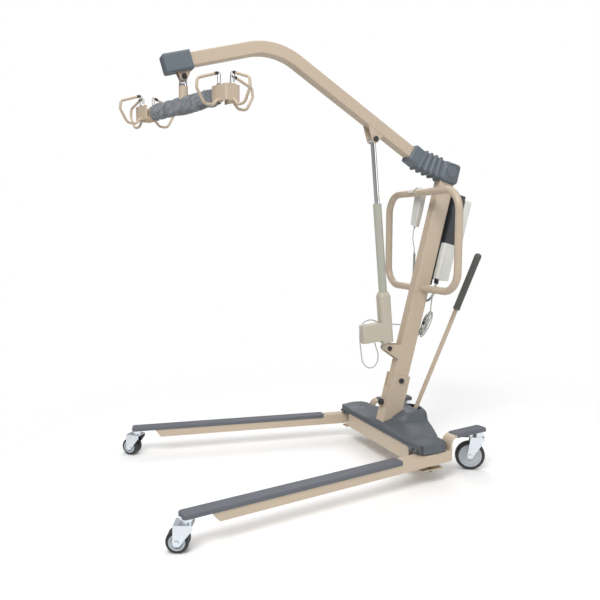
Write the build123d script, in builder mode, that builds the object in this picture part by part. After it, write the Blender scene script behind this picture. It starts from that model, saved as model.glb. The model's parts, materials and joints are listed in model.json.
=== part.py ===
from build123d import *
from math import cos, pi, radians, sin, tan
import os

# Mobile patient lift: splayed wheeled base, leaning mast, boom raised by an electric actuator,
# swivelling hanger with sling hooks. +X forward (towards the patient), +Y left, +Z up, floor at z = 0.
# The origin is on the floor, midway between the two leg pivots. All sizes in millimetres.

# ---- overall sizes ----
MAST_LEAN = 14.5          # degrees the mast leans back
MAST_FOOT_X = 46.2        # where the mast's centreline meets the floor plane
MAST_DEPTH = 75.0
MAST_WIDTH = 50.0
WALL = 3.0                # steel tube wall
MAST_START_Z = 236.0      # foot of the mast tube
PIVOT_Z = 1282.0          # boom pivot height
LEG_PIVOT_Y = 326.0
LEG_SPLAY = 9.0           # degrees each leg stands open
LEG_WIDTH = 50.0
LEG_BOTTOM = 80.0
LEG_TOP = 125.0
LEG_BACK = 91.0           # leg behind its pivot
LEG_BOX = 976.0           # box section ahead of its pivot
LEG_REACH = 1068.0        # tip of the leg's tongue
LEG_BEVEL = 32.0
TONGUE = 5.0
FRONT_STEM = 1050.0       # front caster stem along the leg
REAR_STEM = 280.0         # rear caster stem behind the pivot
ARM_TOP = 183.0
ARM_THICK = 10.0
ARM_REACH = 300.0
PAD = 5.0
PAD_LIP = 11.0
PAD_START = 161.0
FRONT_WHEEL_R = 38.0
FRONT_TRAIL = 27.5
FRONT_TURN = {"left": -24.0, "right": -42.0}
REAR_WHEEL_R = 62.5
REAR_TRAIL = 33.0
REAR_TURN = {"left": -32.0, "right": -26.0}
AXLE_R = 5.0
FIT = 0.05                # radial running clearance of axles and pins
GAP = 0.5                 # side clearance between parts that move past each other

BEAM_FRONT = 62.0
BEAM_DEPTH = 124.0
BEAM_BOTTOM = 76.0
BEAM_TOP = 158.0
BEAM_HALF = 264.0
EAR_HALF = 348.0
BOLT_R = 6.0

# ---- boom and actuator ----
BOOM_HEIGHT = 50.0
BOOM_WIDTH = MAST_WIDTH + 2 * GAP
BOOM_CORNER = (544.0, 1746.0)
BOOM_RISE = 31.5
BOOM_DROP = 15.5
BOOM_BEND_R = 255.0
BOOM_BACK = 854.0         # corner to the boom tube's rear end
BOOM_FRONT = 432.0        # corner to its front end
FORK_PLATE = 6.0
PIVOT_R = 10.0
CAP_LENGTH = 105.0
CAP_WALL = 7.0
ACT_FOOT = (14.0, 505.0)  # actuator's lower pin, x and z
ACT_HEAD = (96.0, 1407.0)  # boom clevis pin, x and z
ACT_PIN_R = 6.0
HOUSING_X = 54.0
HOUSING_Y = 50.0
TUBE_R = 18.0
TUBE_LENGTH = 385.0
ROD_R = 11.0
ROD_BORE_R = 7.5
MOTOR_LENGTH = 92.0
MOTOR_WIDTH = 46.0
MOTOR_HEIGHT = 78.0

# ---- handle, control box, lever ----
HANDLE_X = -155.0
HANDLE_HALF = 272.0
HANDLE_LOW = 765.0
HANDLE_HIGH = 1191.0
HANDLE_R = 16.0
HANDLE_CORNER = 90.0
LEVER_FOOT = (-88.0, 0.0, 92.5)
LEVER_LEAN = 16.5         # degrees the lever's mid position leans back, clear of the control box
LEVER_SIDE = 11.8         # degrees the lever leans sideways with the legs open
LEVER_R = 9.5
LEVER_LENGTH = 885.0
GRIP_LENGTH = 262.0
GRIP_R = 15.5

# ---- hanger ----
HANGER_X = 907.0
HANGER_BOLT_Z = 1589.0
HANGER_TURN = 20.5        # degrees the bar is swivelled
STEM_TOP = 1563.0
STEM_R = 17.0
BAR_Z = 1489.0
BAR_HALF = 232.0
BAR_HEIGHT = 40.0
BAR_DEPTH = 22.0
END_Y = 259.0
END_LENGTH = 88.0
END_DEPTH = 62.0
END_HEIGHT = 54.0
END_PLATE = 4.0
HOOK_R = 5.0
KEEPER_R = 1.5

os.makedirs("parts", exist_ok=True)
sin_l, cos_l = sin(radians(MAST_LEAN)), cos(radians(MAST_LEAN))
MAST_DIR = Vector(-sin_l, 0, cos_l)
MAST_FWD = Vector(cos_l, 0, sin_l)
Z = Vector(0, 0, 1)
Y = Vector(0, 1, 0)
SIDES = {"left": 1, "right": -1}
# the lever's mid position and its axle, both square to Y
LEVER_MID = Vector(-sin(radians(LEVER_LEAN)), 0, cos(radians(LEVER_LEAN)))
LEVER_AXIS = Vector(cos(radians(LEVER_LEAN)), 0, sin(radians(LEVER_LEAN)))
lever_dir = LEVER_MID * cos(radians(LEVER_SIDE)) + Y * sin(radians(LEVER_SIDE))
lever_foot = Vector(*LEVER_FOOT)


def save(part, name):
    part.label = name
    export_step(part, f"parts/{name}.step")


def mast_point(z, forward=0.0, y=0.0):
    """A point beside the mast's centreline, at the height where the centreline passes z."""
    on_line = Vector(MAST_FOOT_X - z * tan(radians(MAST_LEAN)), 0, z)
    return on_line + MAST_FWD * forward + Y * y


def mast_plane(z, forward=0.0, y=0.0):
    """A plane square to the mast: its x forward, its y left."""
    return Plane(origin=mast_point(z, forward, y), x_dir=MAST_FWD, z_dir=MAST_DIR)


def across(x, z, y=0.0):
    """A plane square to Y at x, z."""
    return Plane(origin=(x, y, z), x_dir=(1, 0, 0), z_dir=(0, -1, 0))


def route_radii(points):
    """The arc at each inner point of a cord's route: 0.45 of the shorter run over tan(half the turn)."""
    radii = []
    for a, b, c in zip(points, points[1:], points[2:]):
        first, second = Vector(*b) - Vector(*a), Vector(*c) - Vector(*b)
        half = radians(first.get_angle(second)) / 2
        radii.append(0.45 * min(first.length, second.length) / tan(half))
    return radii


def cord_tube(diameter, name, *routes):
    """Round tubes, each along a route of straight runs joined by tangent arcs."""
    with BuildPart() as tube:
        for points in routes:
            radii = route_radii(points)
            before = tube.part.volume if tube.part else 0
            with BuildLine() as path:
                FilletPolyline(*points, radius=radii)
            line = path.wire()
            with BuildSketch(Plane(origin=line @ 0, z_dir=line % 0)):
                Circle(diameter / 2)
            sweep(path=line)
            ideal = pi * diameter ** 2 / 4 * line.length
            print(f"{name}: length {line.length:.0f}, least radius {min(radii):.1f}, "
                  f"volume over ideal {(tube.part.volume - before) / ideal:.4f}")
    save(tube.part, name)


# ======================= base =======================
with BuildPart() as base_beam:
    with BuildSketch(Plane.XZ):
        with Locations((BEAM_FRONT - BEAM_DEPTH / 2, (BEAM_TOP + BEAM_BOTTOM) / 2)):
            Rectangle(BEAM_DEPTH, BEAM_TOP - BEAM_BOTTOM)
        with Locations((BEAM_FRONT - BEAM_DEPTH / 2 - WALL, (BEAM_TOP + BEAM_BOTTOM) / 2)):
            Rectangle(BEAM_DEPTH, BEAM_TOP - BEAM_BOTTOM - 2 * WALL, mode=Mode.SUBTRACT)
    extrude(amount=BEAM_HALF, both=True)
    # ears that hold each leg's pivot bolt, above and below the leg
    for z in (BEAM_BOTTOM, BEAM_TOP - WALL):
        with BuildSketch(Plane.XY.offset(z)):
            RectangleRounded(72, 2 * EAR_HALF, 12)
        extrude(amount=WALL)
    # tongue that carries the lever's bracket
    with BuildSketch(Plane.XY.offset(BEAM_BOTTOM)):
        with Locations((BEAM_FRONT - BEAM_DEPTH - 25, 0)):
            Rectangle(60, 70)
    extrude(amount=WALL)
    for side in SIDES.values():
        with BuildSketch(Plane.XY.offset(BEAM_BOTTOM - 1)):
            with Locations((0, side * LEG_PIVOT_Y)):
                Circle(BOLT_R + FIT)
        extrude(amount=BEAM_TOP - BEAM_BOTTOM + 2, mode=Mode.SUBTRACT)
        # folded channel below the ear, open towards the side, that takes the bolt's nut
        with BuildSketch(Plane.XY.offset(BEAM_BOTTOM - 16)):
            with Locations((0, side * (LEG_PIVOT_Y + 2))):
                Rectangle(104, 44)
        extrude(amount=3)
        with BuildSketch(Plane.XY.offset(BEAM_BOTTOM - 16)):
            with Locations((0, side * (LEG_PIVOT_Y - 18.5))):
                Rectangle(104, 3)
        extrude(amount=16)
        with BuildSketch(Plane.XY.offset(BEAM_BOTTOM - 17)):
            with Locations((0, side * LEG_PIVOT_Y)):
                Circle(BOLT_R + FIT)
        extrude(amount=6, mode=Mode.SUBTRACT)
    # lever's pin between two lugs that stand on the tongue
    for along in (-16.0, 11.0):
        with BuildSketch(Plane(origin=lever_foot + LEVER_AXIS * along, x_dir=Y, z_dir=LEVER_AXIS)):
            Circle(8.5)
            with Locations((0, -7)):
                Rectangle(17, 14)
        extrude(amount=5)
    with BuildSketch(Plane(origin=lever_foot - LEVER_AXIS * 18, x_dir=Y, z_dir=LEVER_AXIS)):
        Circle(AXLE_R)
    extrude(amount=33.8)
save(base_beam.part, "base_beam")

# bracket the mast stands in: two cheeks and a front web, open at the back so that the mast's foot can swing
FOLD_Z = 355.0
BRACKET_LOW = 140.0
BRACKET_TOP = 379.0
BRACKET_WALL = 5.0
WEB_TOP = 318.0
KNOB_Z = 247.0
KNOB_PIN_R = 5.0
cheek_y = MAST_WIDTH / 2 + GAP
web_x = MAST_DEPTH / 2 + GAP
with BuildPart() as mast_bracket:
    for side in SIDES.values():
        with BuildSketch(mast_plane(BRACKET_LOW)):
            with Locations((0, side * (cheek_y + BRACKET_WALL / 2))):
                Rectangle(MAST_DEPTH + 12, BRACKET_WALL)
        extrude(amount=(BRACKET_TOP - BRACKET_LOW) / cos_l)
    with BuildSketch(mast_plane(BRACKET_LOW)):
        with Locations((web_x + BRACKET_WALL / 2, 0)):
            Rectangle(BRACKET_WALL, 2 * (cheek_y + BRACKET_WALL))
    extrude(amount=(WEB_TOP - BRACKET_LOW) / cos_l)
    with BuildSketch(Plane.XY.offset(BEAM_TOP - 60)):
        Rectangle(300, 300)
    extrude(amount=60, mode=Mode.SUBTRACT)
    # foot plate on the beam's top flange
    with BuildSketch(Plane.XY.offset(BEAM_TOP)):
        with Locations((3.5, 0)):
            Rectangle(97, 84)
    extrude(amount=5)
    with BuildSketch(across(mast_point(FOLD_Z).X, FOLD_Z, 60)):
        Circle(BOLT_R + FIT)
    extrude(amount=120, mode=Mode.SUBTRACT)
    # collar that guides the lock knob's pin
    with BuildSketch(Plane(origin=mast_point(KNOB_Z, web_x + BRACKET_WALL), x_dir=Y, z_dir=MAST_FWD)):
        Circle(9)
    extrude(amount=6)
    with BuildSketch(Plane(origin=mast_point(KNOB_Z, web_x - 3), x_dir=Y, z_dir=MAST_FWD)):
        Circle(KNOB_PIN_R + FIT)
    extrude(amount=20, mode=Mode.SUBTRACT)
save(mast_bracket.part, "mast_bracket")


# moulded cover over the beam: lofted through sections square to Y
COVER_HALF = 352.0
COVER_WALL = 3.0
COVER_LOW = 129.0
SCREW_YS = (300.0, 334.0)
SCREW_Z = 141.0
COVER_STATIONS = (0.0, 60.0, 105.0, 165.0, 235.0, 300.0, COVER_HALF)


def cover_section(y, inset):
    """The cover's outline at y: front lip, sloping top, crown behind the mast, rear skirt."""
    share = min(abs(y) / COVER_HALF, 1.0)
    bell = 0.5 + 0.5 * cos(pi * min(share * 1.9, 1.0))
    end = 3.0 * share ** 6
    front = BEAM_FRONT + 3 - inset
    rear = -82 - 86 * (1 - min(abs(y) / 268, 1.0) ** 1.6) + inset
    low_front = BEAM_TOP - 8 if abs(y) < BEAM_HALF + 1 else COVER_LOW
    low_rear = COVER_LOW
    lip = 165 - 3 * share - inset - end
    crown = 168 + 56 * bell - inset - end
    shoulder = 160 + 48 * bell - inset - end
    crown_x = 20 - 105 * bell
    floor = 12 if inset else 0
    return [
        (front, low_front - floor),
        (front, lip - 6),
        (front - 5, lip),
        (crown_x + 26, crown - 4),
        (crown_x - 12, crown),
        (rear + 16, shoulder),
        (rear + 2, shoulder - 14),
        (rear, low_rear - floor),
    ]


def cover_form(inset):
    with BuildPart() as form:
        ys = [y for y in COVER_STATIONS]
        stations = [-y for y in reversed(ys[1:])] + ys
        for y in stations:
            place = y - inset * (1 if y > 0 else -1) if abs(y) == COVER_HALF else y
            with BuildSketch(across(0, 0, place)):
                with BuildLine():
                    Polyline(*cover_section(y, inset), close=True)
                make_face()
        loft(ruled=True)
    return form.part


outer_cover = cover_form(0)
inner_cover = cover_form(COVER_WALL)
with BuildPart() as base_cover:
    add(outer_cover)
    add(inner_cover, mode=Mode.SUBTRACT)
    # opening for the mast's bracket and the swing of the mast's foot
    with BuildSketch(mast_plane(BRACKET_LOW)):
        with Locations((-1, 0)):
            Rectangle(MAST_DEPTH + 18, MAST_WIDTH + 2 * BRACKET_WALL + 3)
    extrude(amount=140, mode=Mode.SUBTRACT)
    # room for the beam, its ears and the screws
    with BuildSketch(Plane.XY.offset(COVER_LOW - 60)):
        Rectangle(2 * BEAM_FRONT + 0.6, 2 * BEAM_HALF + 0.6)
        Rectangle(73, 2 * EAR_HALF + 0.6)
    extrude(amount=BEAM_TOP + 0.3 - COVER_LOW + 60, mode=Mode.SUBTRACT)
    for side in SIDES.values():
        for y in SCREW_YS:
            with BuildSketch(Plane(origin=(BEAM_FRONT - 4, side * y, SCREW_Z), x_dir=Y, z_dir=(1, 0, 0))):
                Circle(2.6)
            extrude(amount=10, mode=Mode.SUBTRACT)
    # slot that the lever moves along
    with BuildSketch(Plane(origin=lever_foot + LEVER_MID * 60, x_dir=LEVER_AXIS, z_dir=LEVER_MID)):
        Rectangle(2 * LEVER_R + 8, 2 * (150 * tan(radians(LEVER_SIDE)) + LEVER_R + 6))
    extrude(amount=110, mode=Mode.SUBTRACT)
save(base_cover.part, "base_cover")

# screws of the cover, pivot bolts of the legs with their bushes, and the fold bolt
with BuildPart() as base_bolts:
    for side in SIDES.values():
        with BuildSketch(Plane.XY.offset(BEAM_BOTTOM - 22)):
            with Locations((0, side * LEG_PIVOT_Y)):
                Circle(BOLT_R)
        extrude(amount=BEAM_TOP - BEAM_BOTTOM + 24)
        with BuildSketch(Plane.XY.offset(BEAM_BOTTOM - 26)):
            with Locations((0, side * LEG_PIVOT_Y)):
                RegularPolygon(11, 6)
        extrude(amount=9.9)
        with BuildSketch(Plane.XY.offset(BEAM_TOP)):
            with Locations((0, side * LEG_PIVOT_Y)):
                Circle(12)
        extrude(amount=2.4)
        with BuildSketch(Plane.XY.offset(LEG_TOP + 1)):
            with Locations((0, side * LEG_PIVOT_Y)):
                Circle(11)
        extrude(amount=BEAM_TOP - WALL - LEG_TOP - 1)
    fold = mast_point(FOLD_Z)
    bracket_out = cheek_y + BRACKET_WALL
    with BuildSketch(across(fold.X, FOLD_Z, bracket_out + 7)):
        Circle(BOLT_R)
    extrude(amount=2 * bracket_out + 14)
    with BuildSketch(across(fold.X, FOLD_Z, bracket_out + 7)):
        Circle(11.5)
    extrude(amount=7)
    with BuildSketch(across(fold.X, FOLD_Z, -bracket_out)):
        RegularPolygon(11, 6)
    extrude(amount=8)
    for side in SIDES.values():
        for y in SCREW_YS:
            with BuildSketch(Plane(origin=(BEAM_FRONT - 6, side * y, SCREW_Z), x_dir=Y, z_dir=(1, 0, 0))):
                Circle(2.5)
            extrude(amount=10)
            with BuildSketch(Plane(origin=(BEAM_FRONT + 3, side * y, SCREW_Z), x_dir=Y, z_dir=(1, 0, 0))):
                Circle(5)
            extrude(amount=3)
save(base_bolts.part, "base_bolts")

# ======================= shift lever and tie bar =======================
CRANK = 19.2
CRANK_AHEAD = 25.6        # from the lever's axle to the middle of the tie bar's fork
lever_plane = Plane(origin=lever_foot, x_dir=LEVER_AXIS, z_dir=lever_dir)
with BuildPart() as shift_lever:
    with BuildSketch(lever_plane):
        Circle(LEVER_R)
    extrude(amount=LEVER_LENGTH - 6)
    with BuildSketch(Plane(origin=lever_foot - LEVER_AXIS * 10, x_dir=Y, z_dir=LEVER_AXIS)):
        Circle(10)
    extrude(amount=20)
    # crank pin that moves the tie bar
    crank = lever_foot + lever_dir * CRANK
    with BuildSketch(Plane(origin=crank, x_dir=Y, z_dir=LEVER_AXIS)):
        Circle(4)
    extrude(amount=CRANK_AHEAD + 4.9)
    with BuildSketch(Plane(origin=lever_foot - LEVER_AXIS * 11, x_dir=Y, z_dir=LEVER_AXIS)):
        Circle(AXLE_R + FIT)
    extrude(amount=22, mode=Mode.SUBTRACT)
save(shift_lever.part, "shift_lever")

with BuildPart() as lever_grip:
    with BuildSketch(lever_plane.offset(LEVER_LENGTH - GRIP_LENGTH)):
        Circle(GRIP_R)
    extrude(amount=GRIP_LENGTH)
    fillet(lever_grip.edges().filter_by(GeomType.CIRCLE).group_by(Axis.Z)[-1], GRIP_R - 1)
    with BuildSketch(lever_plane.offset(LEVER_LENGTH - GRIP_LENGTH - 1)):
        Circle(LEVER_R)
    extrude(amount=GRIP_LENGTH - 5, mode=Mode.SUBTRACT)
save(lever_grip.part, "lever_grip")

# tie bar: slides along the beam and turns both legs; it joins the left leg ahead of its pivot, the right behind
TIE_X = 50.0
TIE_Y = 284.0
TIE_Z = 96.0
TIE_THICK = 6.0
tie_rest = TIE_X * tan(radians(LEG_SPLAY / 2))
crank_end = lever_foot + lever_dir * CRANK + LEVER_AXIS * CRANK_AHEAD
with BuildPart() as tie_bar:
    with BuildSketch(Plane.XY.offset(TIE_Z)):
        with BuildLine():
            Polyline((TIE_X + 8, TIE_Y + 10), (TIE_X - 8, TIE_Y + 10), (TIE_X - 14, 226), (-34, -226),
                     (-TIE_X - 8, -TIE_Y - 6), (-TIE_X + 8, -TIE_Y - 6), (-16, -226), (TIE_X + 2, 226),
                     close=True)
        make_face()
    extrude(amount=TIE_THICK)
    for side in (1, -1):
        with BuildSketch(Plane.XY.offset(TIE_Z + TIE_THICK)):
            with Locations((side * TIE_X, side * TIE_Y + tie_rest)):
                Circle(5)
        extrude(amount=14)
    # fork around the lever's crank pin
    with BuildSketch(Plane.XY.offset(TIE_Z)):
        with Locations(((crank_end.X - 3) / 2, crank_end.Y)):
            Rectangle(abs(crank_end.X - 3), 22)
    extrude(amount=TIE_THICK)
    with BuildSketch(Plane.YZ.offset(crank_end.X - 3)):
        with Locations((crank_end.Y, TIE_Z + 18)):
            Rectangle(22, 36)
            Rectangle(2 * 4 + 0.8, 28, mode=Mode.SUBTRACT)
    extrude(amount=6)
save(tie_bar.part, "tie_bar")


# ======================= legs =======================
def leg_plane(side):
    """The leg's own plane at rest: x along the leg, y left, origin under its pivot."""
    turn = radians(LEG_SPLAY) * side
    return Plane(origin=(0, side * LEG_PIVOT_Y, 0), x_dir=(cos(turn), sin(turn), 0), z_dir=(0, 0, 1))


def leg_side_plane(side):
    """A plane through the leg's centreline: x along the leg, y up."""
    base = leg_plane(side)
    return Plane(origin=base.origin, x_dir=base.x_dir, z_dir=-base.y_dir)


for name, side in SIDES.items():
    plane, profile = leg_plane(side), leg_side_plane(side)
    with BuildPart() as leg:
        with BuildSketch(profile):
            with BuildLine():
                Polyline((-LEG_BACK, LEG_BOTTOM), (LEG_BOX - LEG_BEVEL, LEG_BOTTOM), (LEG_BOX, LEG_TOP),
                         (-LEG_BACK, LEG_TOP), close=True)
            make_face()
        extrude(amount=LEG_WIDTH / 2, both=True)
        with BuildSketch(profile):
            with BuildLine():
                Polyline((-LEG_BACK - 1, LEG_BOTTOM + WALL), (LEG_BOX - LEG_BEVEL - 6, LEG_BOTTOM + WALL),
                         (LEG_BOX - 30, LEG_TOP - WALL), (-LEG_BACK - 1, LEG_TOP - WALL), close=True)
            make_face()
        extrude(amount=LEG_WIDTH / 2 - WALL, both=True, mode=Mode.SUBTRACT)
        # tongue over the front caster
        with BuildSketch(plane.offset(LEG_TOP - TONGUE)):
            with Locations(((LEG_BOX + LEG_REACH) / 2 - 10, 0)):
                RectangleRounded(LEG_REACH - LEG_BOX + 20, LEG_WIDTH, 8)
        extrude(amount=TONGUE)
        # upright and arm over the rear caster, bent from one thick strip
        with BuildSketch(profile):
            with BuildLine():
                Polyline((-LEG_BACK, LEG_BOTTOM), (-LEG_BACK, ARM_TOP), (-ARM_REACH, ARM_TOP),
                         (-ARM_REACH, ARM_TOP - ARM_THICK), (-LEG_BACK - ARM_THICK, ARM_TOP - ARM_THICK),
                         (-LEG_BACK - ARM_THICK, LEG_BOTTOM), close=True)
            make_face()
        extrude(amount=LEG_WIDTH / 2, both=True)
        upright_edges = leg.edges().filter_by(Axis((0, 0, 0), profile.z_dir)).filter_by(
            lambda e: abs(e.length - LEG_WIDTH) < 1e-3)
        corner = plane.from_local_coords(Vector(-LEG_BACK, 0, ARM_TOP))
        inner = plane.from_local_coords(Vector(-LEG_BACK - ARM_THICK, 0, ARM_TOP - ARM_THICK))
        fillet([e for e in upright_edges if (e.center() - corner).length < 1], 34)
        fillet([e for e in leg.edges() if (e.center() - inner).length < 1], 24)
        # arm towards the tie bar, with its slotted hole
        with BuildSketch(plane.offset(104)):
            with Locations((side * 47, -side * 34)):
                Rectangle(44, 36)
        extrude(amount=5)
        slot_at = plane.to_local_coords(Vector(side * TIE_X, side * TIE_Y + tie_rest, 0))
        with BuildSketch(plane.offset(100)):
            with Locations((slot_at.X + 3, slot_at.Y)):
                SlotOverall(22, 2 * (5 + 0.6))
        extrude(amount=12, mode=Mode.SUBTRACT)
        for u, radius, low in ((0, BOLT_R + 0.3, 70), (FRONT_STEM, 6, 110), (-REAR_STEM, 6, 160)):
            with BuildSketch(plane.offset(low)):
                with Locations((u, 0)):
                    Circle(radius)
            extrude(amount=60, mode=Mode.SUBTRACT)
    save(leg.part, f"leg_{name}")

    # soft pads that lap over the leg's top edges
    with BuildPart() as pads:
        for start, end, top in ((PAD_START, LEG_REACH + 2, LEG_TOP), (-ARM_REACH - 2, -LEG_BACK - 32, ARM_TOP)):
            with BuildSketch(plane.offset(top - PAD_LIP)):
                with Locations(((start + end) / 2, 0)):
                    Rectangle(end - start, LEG_WIDTH + 6)
            extrude(amount=PAD_LIP + PAD)
            with BuildSketch(plane.offset(top - PAD_LIP - 1)):
                with Locations(((start + end) / 2, 0)):
                    Rectangle(end - start + 2, LEG_WIDTH)
            extrude(amount=PAD_LIP + 1, mode=Mode.SUBTRACT)
    save(pads.part, f"leg_pads_{name}")

# ======================= casters =======================
FRONT_WHEEL_WIDTH = 23.0
FRONT_WHEEL_GAP = 4.0
FORK_SHEET = 3.0
SWIVEL_TOP = LEG_TOP - TONGUE
FORK_TOP = 96.0
REAR_TOP = ARM_TOP - ARM_THICK
REAR_FORK_TOP = 145.0
REAR_WHEEL_WIDTH = 30.0
PEDAL_PIVOT = (32.0, 151.0)
PEDAL_BOSS = 12.0


def stem_place(side, along):
    return leg_plane(side).from_local_coords(Vector(along, 0, 0))


def caster_plane(side, along, turn):
    at = stem_place(side, along)
    return Plane(origin=at, x_dir=(cos(radians(turn)), sin(radians(turn)), 0), z_dir=(0, 0, 1))


def caster_fork(plane, top, fork_top, trail, wheel_r, inner_half, stem_top, nose):
    """A caster's swivel collar, stem, pressed fork and axle, as separate solids."""
    sidewall = Plane(origin=plane.origin, x_dir=plane.x_dir, z_dir=-plane.y_dir)
    with BuildPart() as fork:
        with BuildSketch(sidewall):
            with BuildLine():
                Polyline((-24, fork_top), (trail + nose, fork_top), (trail + 13, wheel_r),
                         (trail + 8, wheel_r - 12), (trail - 8, wheel_r - 12), (-24, fork_top - 14), close=True)
            make_face()
        extrude(amount=inner_half + FORK_SHEET, both=True)
        with BuildSketch(sidewall):
            with Locations((trail, fork_top / 2 - FORK_SHEET)):
                Rectangle(400, fork_top)
        extrude(amount=inner_half, both=True, mode=Mode.SUBTRACT)
        with BuildSketch(plane.offset(fork_top)):
            Circle(22)
        extrude(amount=3)
        with BuildSketch(sidewall.offset(-inner_half - FORK_SHEET - 1)):
            with Locations((trail, wheel_r)):
                Circle(AXLE_R)
        extrude(amount=2 * (inner_half + FORK_SHEET + 1), mode=Mode.SUBTRACT)
    with BuildPart() as collar:
        with BuildSketch(plane.offset(fork_top + 3)):
            Circle(20)
        extrude(amount=(top - fork_top - 3) / 2)
        with BuildSketch(plane.offset((top + fork_top + 3) / 2)):
            Circle(23)
        extrude(amount=(top - fork_top - 3) / 2 - 0.2)
        with BuildSketch(plane.offset(top - 1)):
            Circle(6 - FIT)
        extrude(amount=stem_top - top + 1)
    with BuildPart() as axle:
        with BuildSketch(sidewall.offset(-inner_half - FORK_SHEET - 4)):
            with Locations((trail, wheel_r)):
                Circle(AXLE_R)
        extrude(amount=2 * (inner_half + FORK_SHEET + 4))
        for end in (1, -1):
            with BuildSketch(sidewall.offset(end * (inner_half + FORK_SHEET) - (4 if end < 0 else 0))):
                with Locations((trail, wheel_r)):
                    Circle(8)
            extrude(amount=4)
    return Compound(children=[fork.part, collar.part, axle.part])


def wheel_hub(sidewall, trail, wheel_r, low, width, rim_r):
    """A moulded hub with a recessed face on both sides and a bore for the axle."""
    with BuildPart() as hub:
        with BuildSketch(sidewall.offset(low)):
            with Locations((trail, wheel_r)):
                Circle(rim_r)
        extrude(amount=width)
        for start in (low, low + width - 4):
            with BuildSketch(sidewall.offset(start)):
                with Locations((trail, wheel_r)):
                    Circle(rim_r - 5)
                    Circle(12, mode=Mode.SUBTRACT)
            extrude(amount=4, mode=Mode.SUBTRACT)
        with BuildSketch(sidewall.offset(low)):
            with Locations((trail, wheel_r)):
                Circle(AXLE_R + FIT)
        extrude(amount=width, mode=Mode.SUBTRACT)
    return hub.part


def wheel_tyre(sidewall, trail, wheel_r, low, width, rim_r):
    with BuildPart() as tyre:
        with BuildSketch(sidewall.offset(low)):
            with Locations((trail, wheel_r)):
                Circle(wheel_r)
                Circle(rim_r, mode=Mode.SUBTRACT)
        extrude(amount=width)
        fillet(tyre.edges().filter_by(GeomType.CIRCLE).sort_by(SortBy.RADIUS)[-2:], width * 0.32)
    return tyre.part


for name, side in SIDES.items():
    # twin front wheels
    plane = caster_plane(side, FRONT_STEM, FRONT_TURN[name])
    sidewall = Plane(origin=plane.origin, x_dir=plane.x_dir, z_dir=-plane.y_dir)
    half = FRONT_WHEEL_GAP / 2 + FRONT_WHEEL_WIDTH + 1.5
    fork = caster_fork(plane, SWIVEL_TOP, FORK_TOP, FRONT_TRAIL, FRONT_WHEEL_R, half, LEG_TOP - 0.5, 11.4)
    save(fork, f"front_fork_{name}")
    lows = (FRONT_WHEEL_GAP / 2, -FRONT_WHEEL_GAP / 2 - FRONT_WHEEL_WIDTH)
    save(Compound(children=[wheel_hub(sidewall, FRONT_TRAIL, FRONT_WHEEL_R, low, FRONT_WHEEL_WIDTH, 27)
                            for low in lows]), f"front_hubs_{name}")
    save(Compound(children=[wheel_tyre(sidewall, FRONT_TRAIL, FRONT_WHEEL_R, low, FRONT_WHEEL_WIDTH, 27)
                            for low in lows]), f"front_tyres_{name}")
    # single rear wheel with its brake pedal
    plane = caster_plane(side, -REAR_STEM, REAR_TURN[name])
    sidewall = Plane(origin=plane.origin, x_dir=plane.x_dir, z_dir=-plane.y_dir)
    half = REAR_WHEEL_WIDTH / 2 + 2.5
    fork = caster_fork(plane, REAR_TOP, REAR_FORK_TOP, REAR_TRAIL, REAR_WHEEL_R, half, ARM_TOP - 0.5, 0)
    # lugs and pin that hold the brake pedal
    with BuildPart() as lugs:
        for start in (PEDAL_BOSS + GAP, -PEDAL_BOSS - GAP - FORK_SHEET):
            with BuildSketch(sidewall.offset(start)):
                with Locations(PEDAL_PIVOT):
                    Circle(5.5)
                with Locations((PEDAL_PIVOT[0] - 3, REAR_FORK_TOP + 1)):
                    Rectangle(8, 2)
                make_hull()
            extrude(amount=FORK_SHEET)
        with BuildSketch(sidewall.offset(-PEDAL_BOSS - FORK_SHEET)):
            with Locations(PEDAL_PIVOT):
                Circle(2)
        extrude(amount=2 * (PEDAL_BOSS + FORK_SHEET))
    save(Compound(children=[*fork.children, lugs.part]), f"rear_fork_{name}")
    low = -REAR_WHEEL_WIDTH / 2
    save(wheel_hub(sidewall, REAR_TRAIL, REAR_WHEEL_R, low, REAR_WHEEL_WIDTH, 48), f"rear_hub_{name}")
    save(wheel_tyre(sidewall, REAR_TRAIL, REAR_WHEEL_R, low, REAR_WHEEL_WIDTH, 48), f"rear_tyre_{name}")
    with BuildPart() as pedal:
        with BuildSketch(sidewall):
            with BuildLine():
                Polyline((40, 151.2), (98, 147), (98, 143.5), (40, 146), close=True)
            make_face()
        extrude(amount=20, both=True)
        with BuildSketch(sidewall):
            with BuildLine():
                Polyline((32, 155), (42, 151), (42, 146), (32, 147), close=True)
            make_face()
            with Locations(PEDAL_PIVOT):
                Circle(4)
        extrude(amount=PEDAL_BOSS, both=True)
        with BuildSketch(sidewall.offset(-PEDAL_BOSS)):
            with Locations(PEDAL_PIVOT):
                Circle(2 + FIT)
        extrude(amount=2 * PEDAL_BOSS, mode=Mode.SUBTRACT)
    save(pedal.part, f"brake_pedal_{name}")

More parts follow.
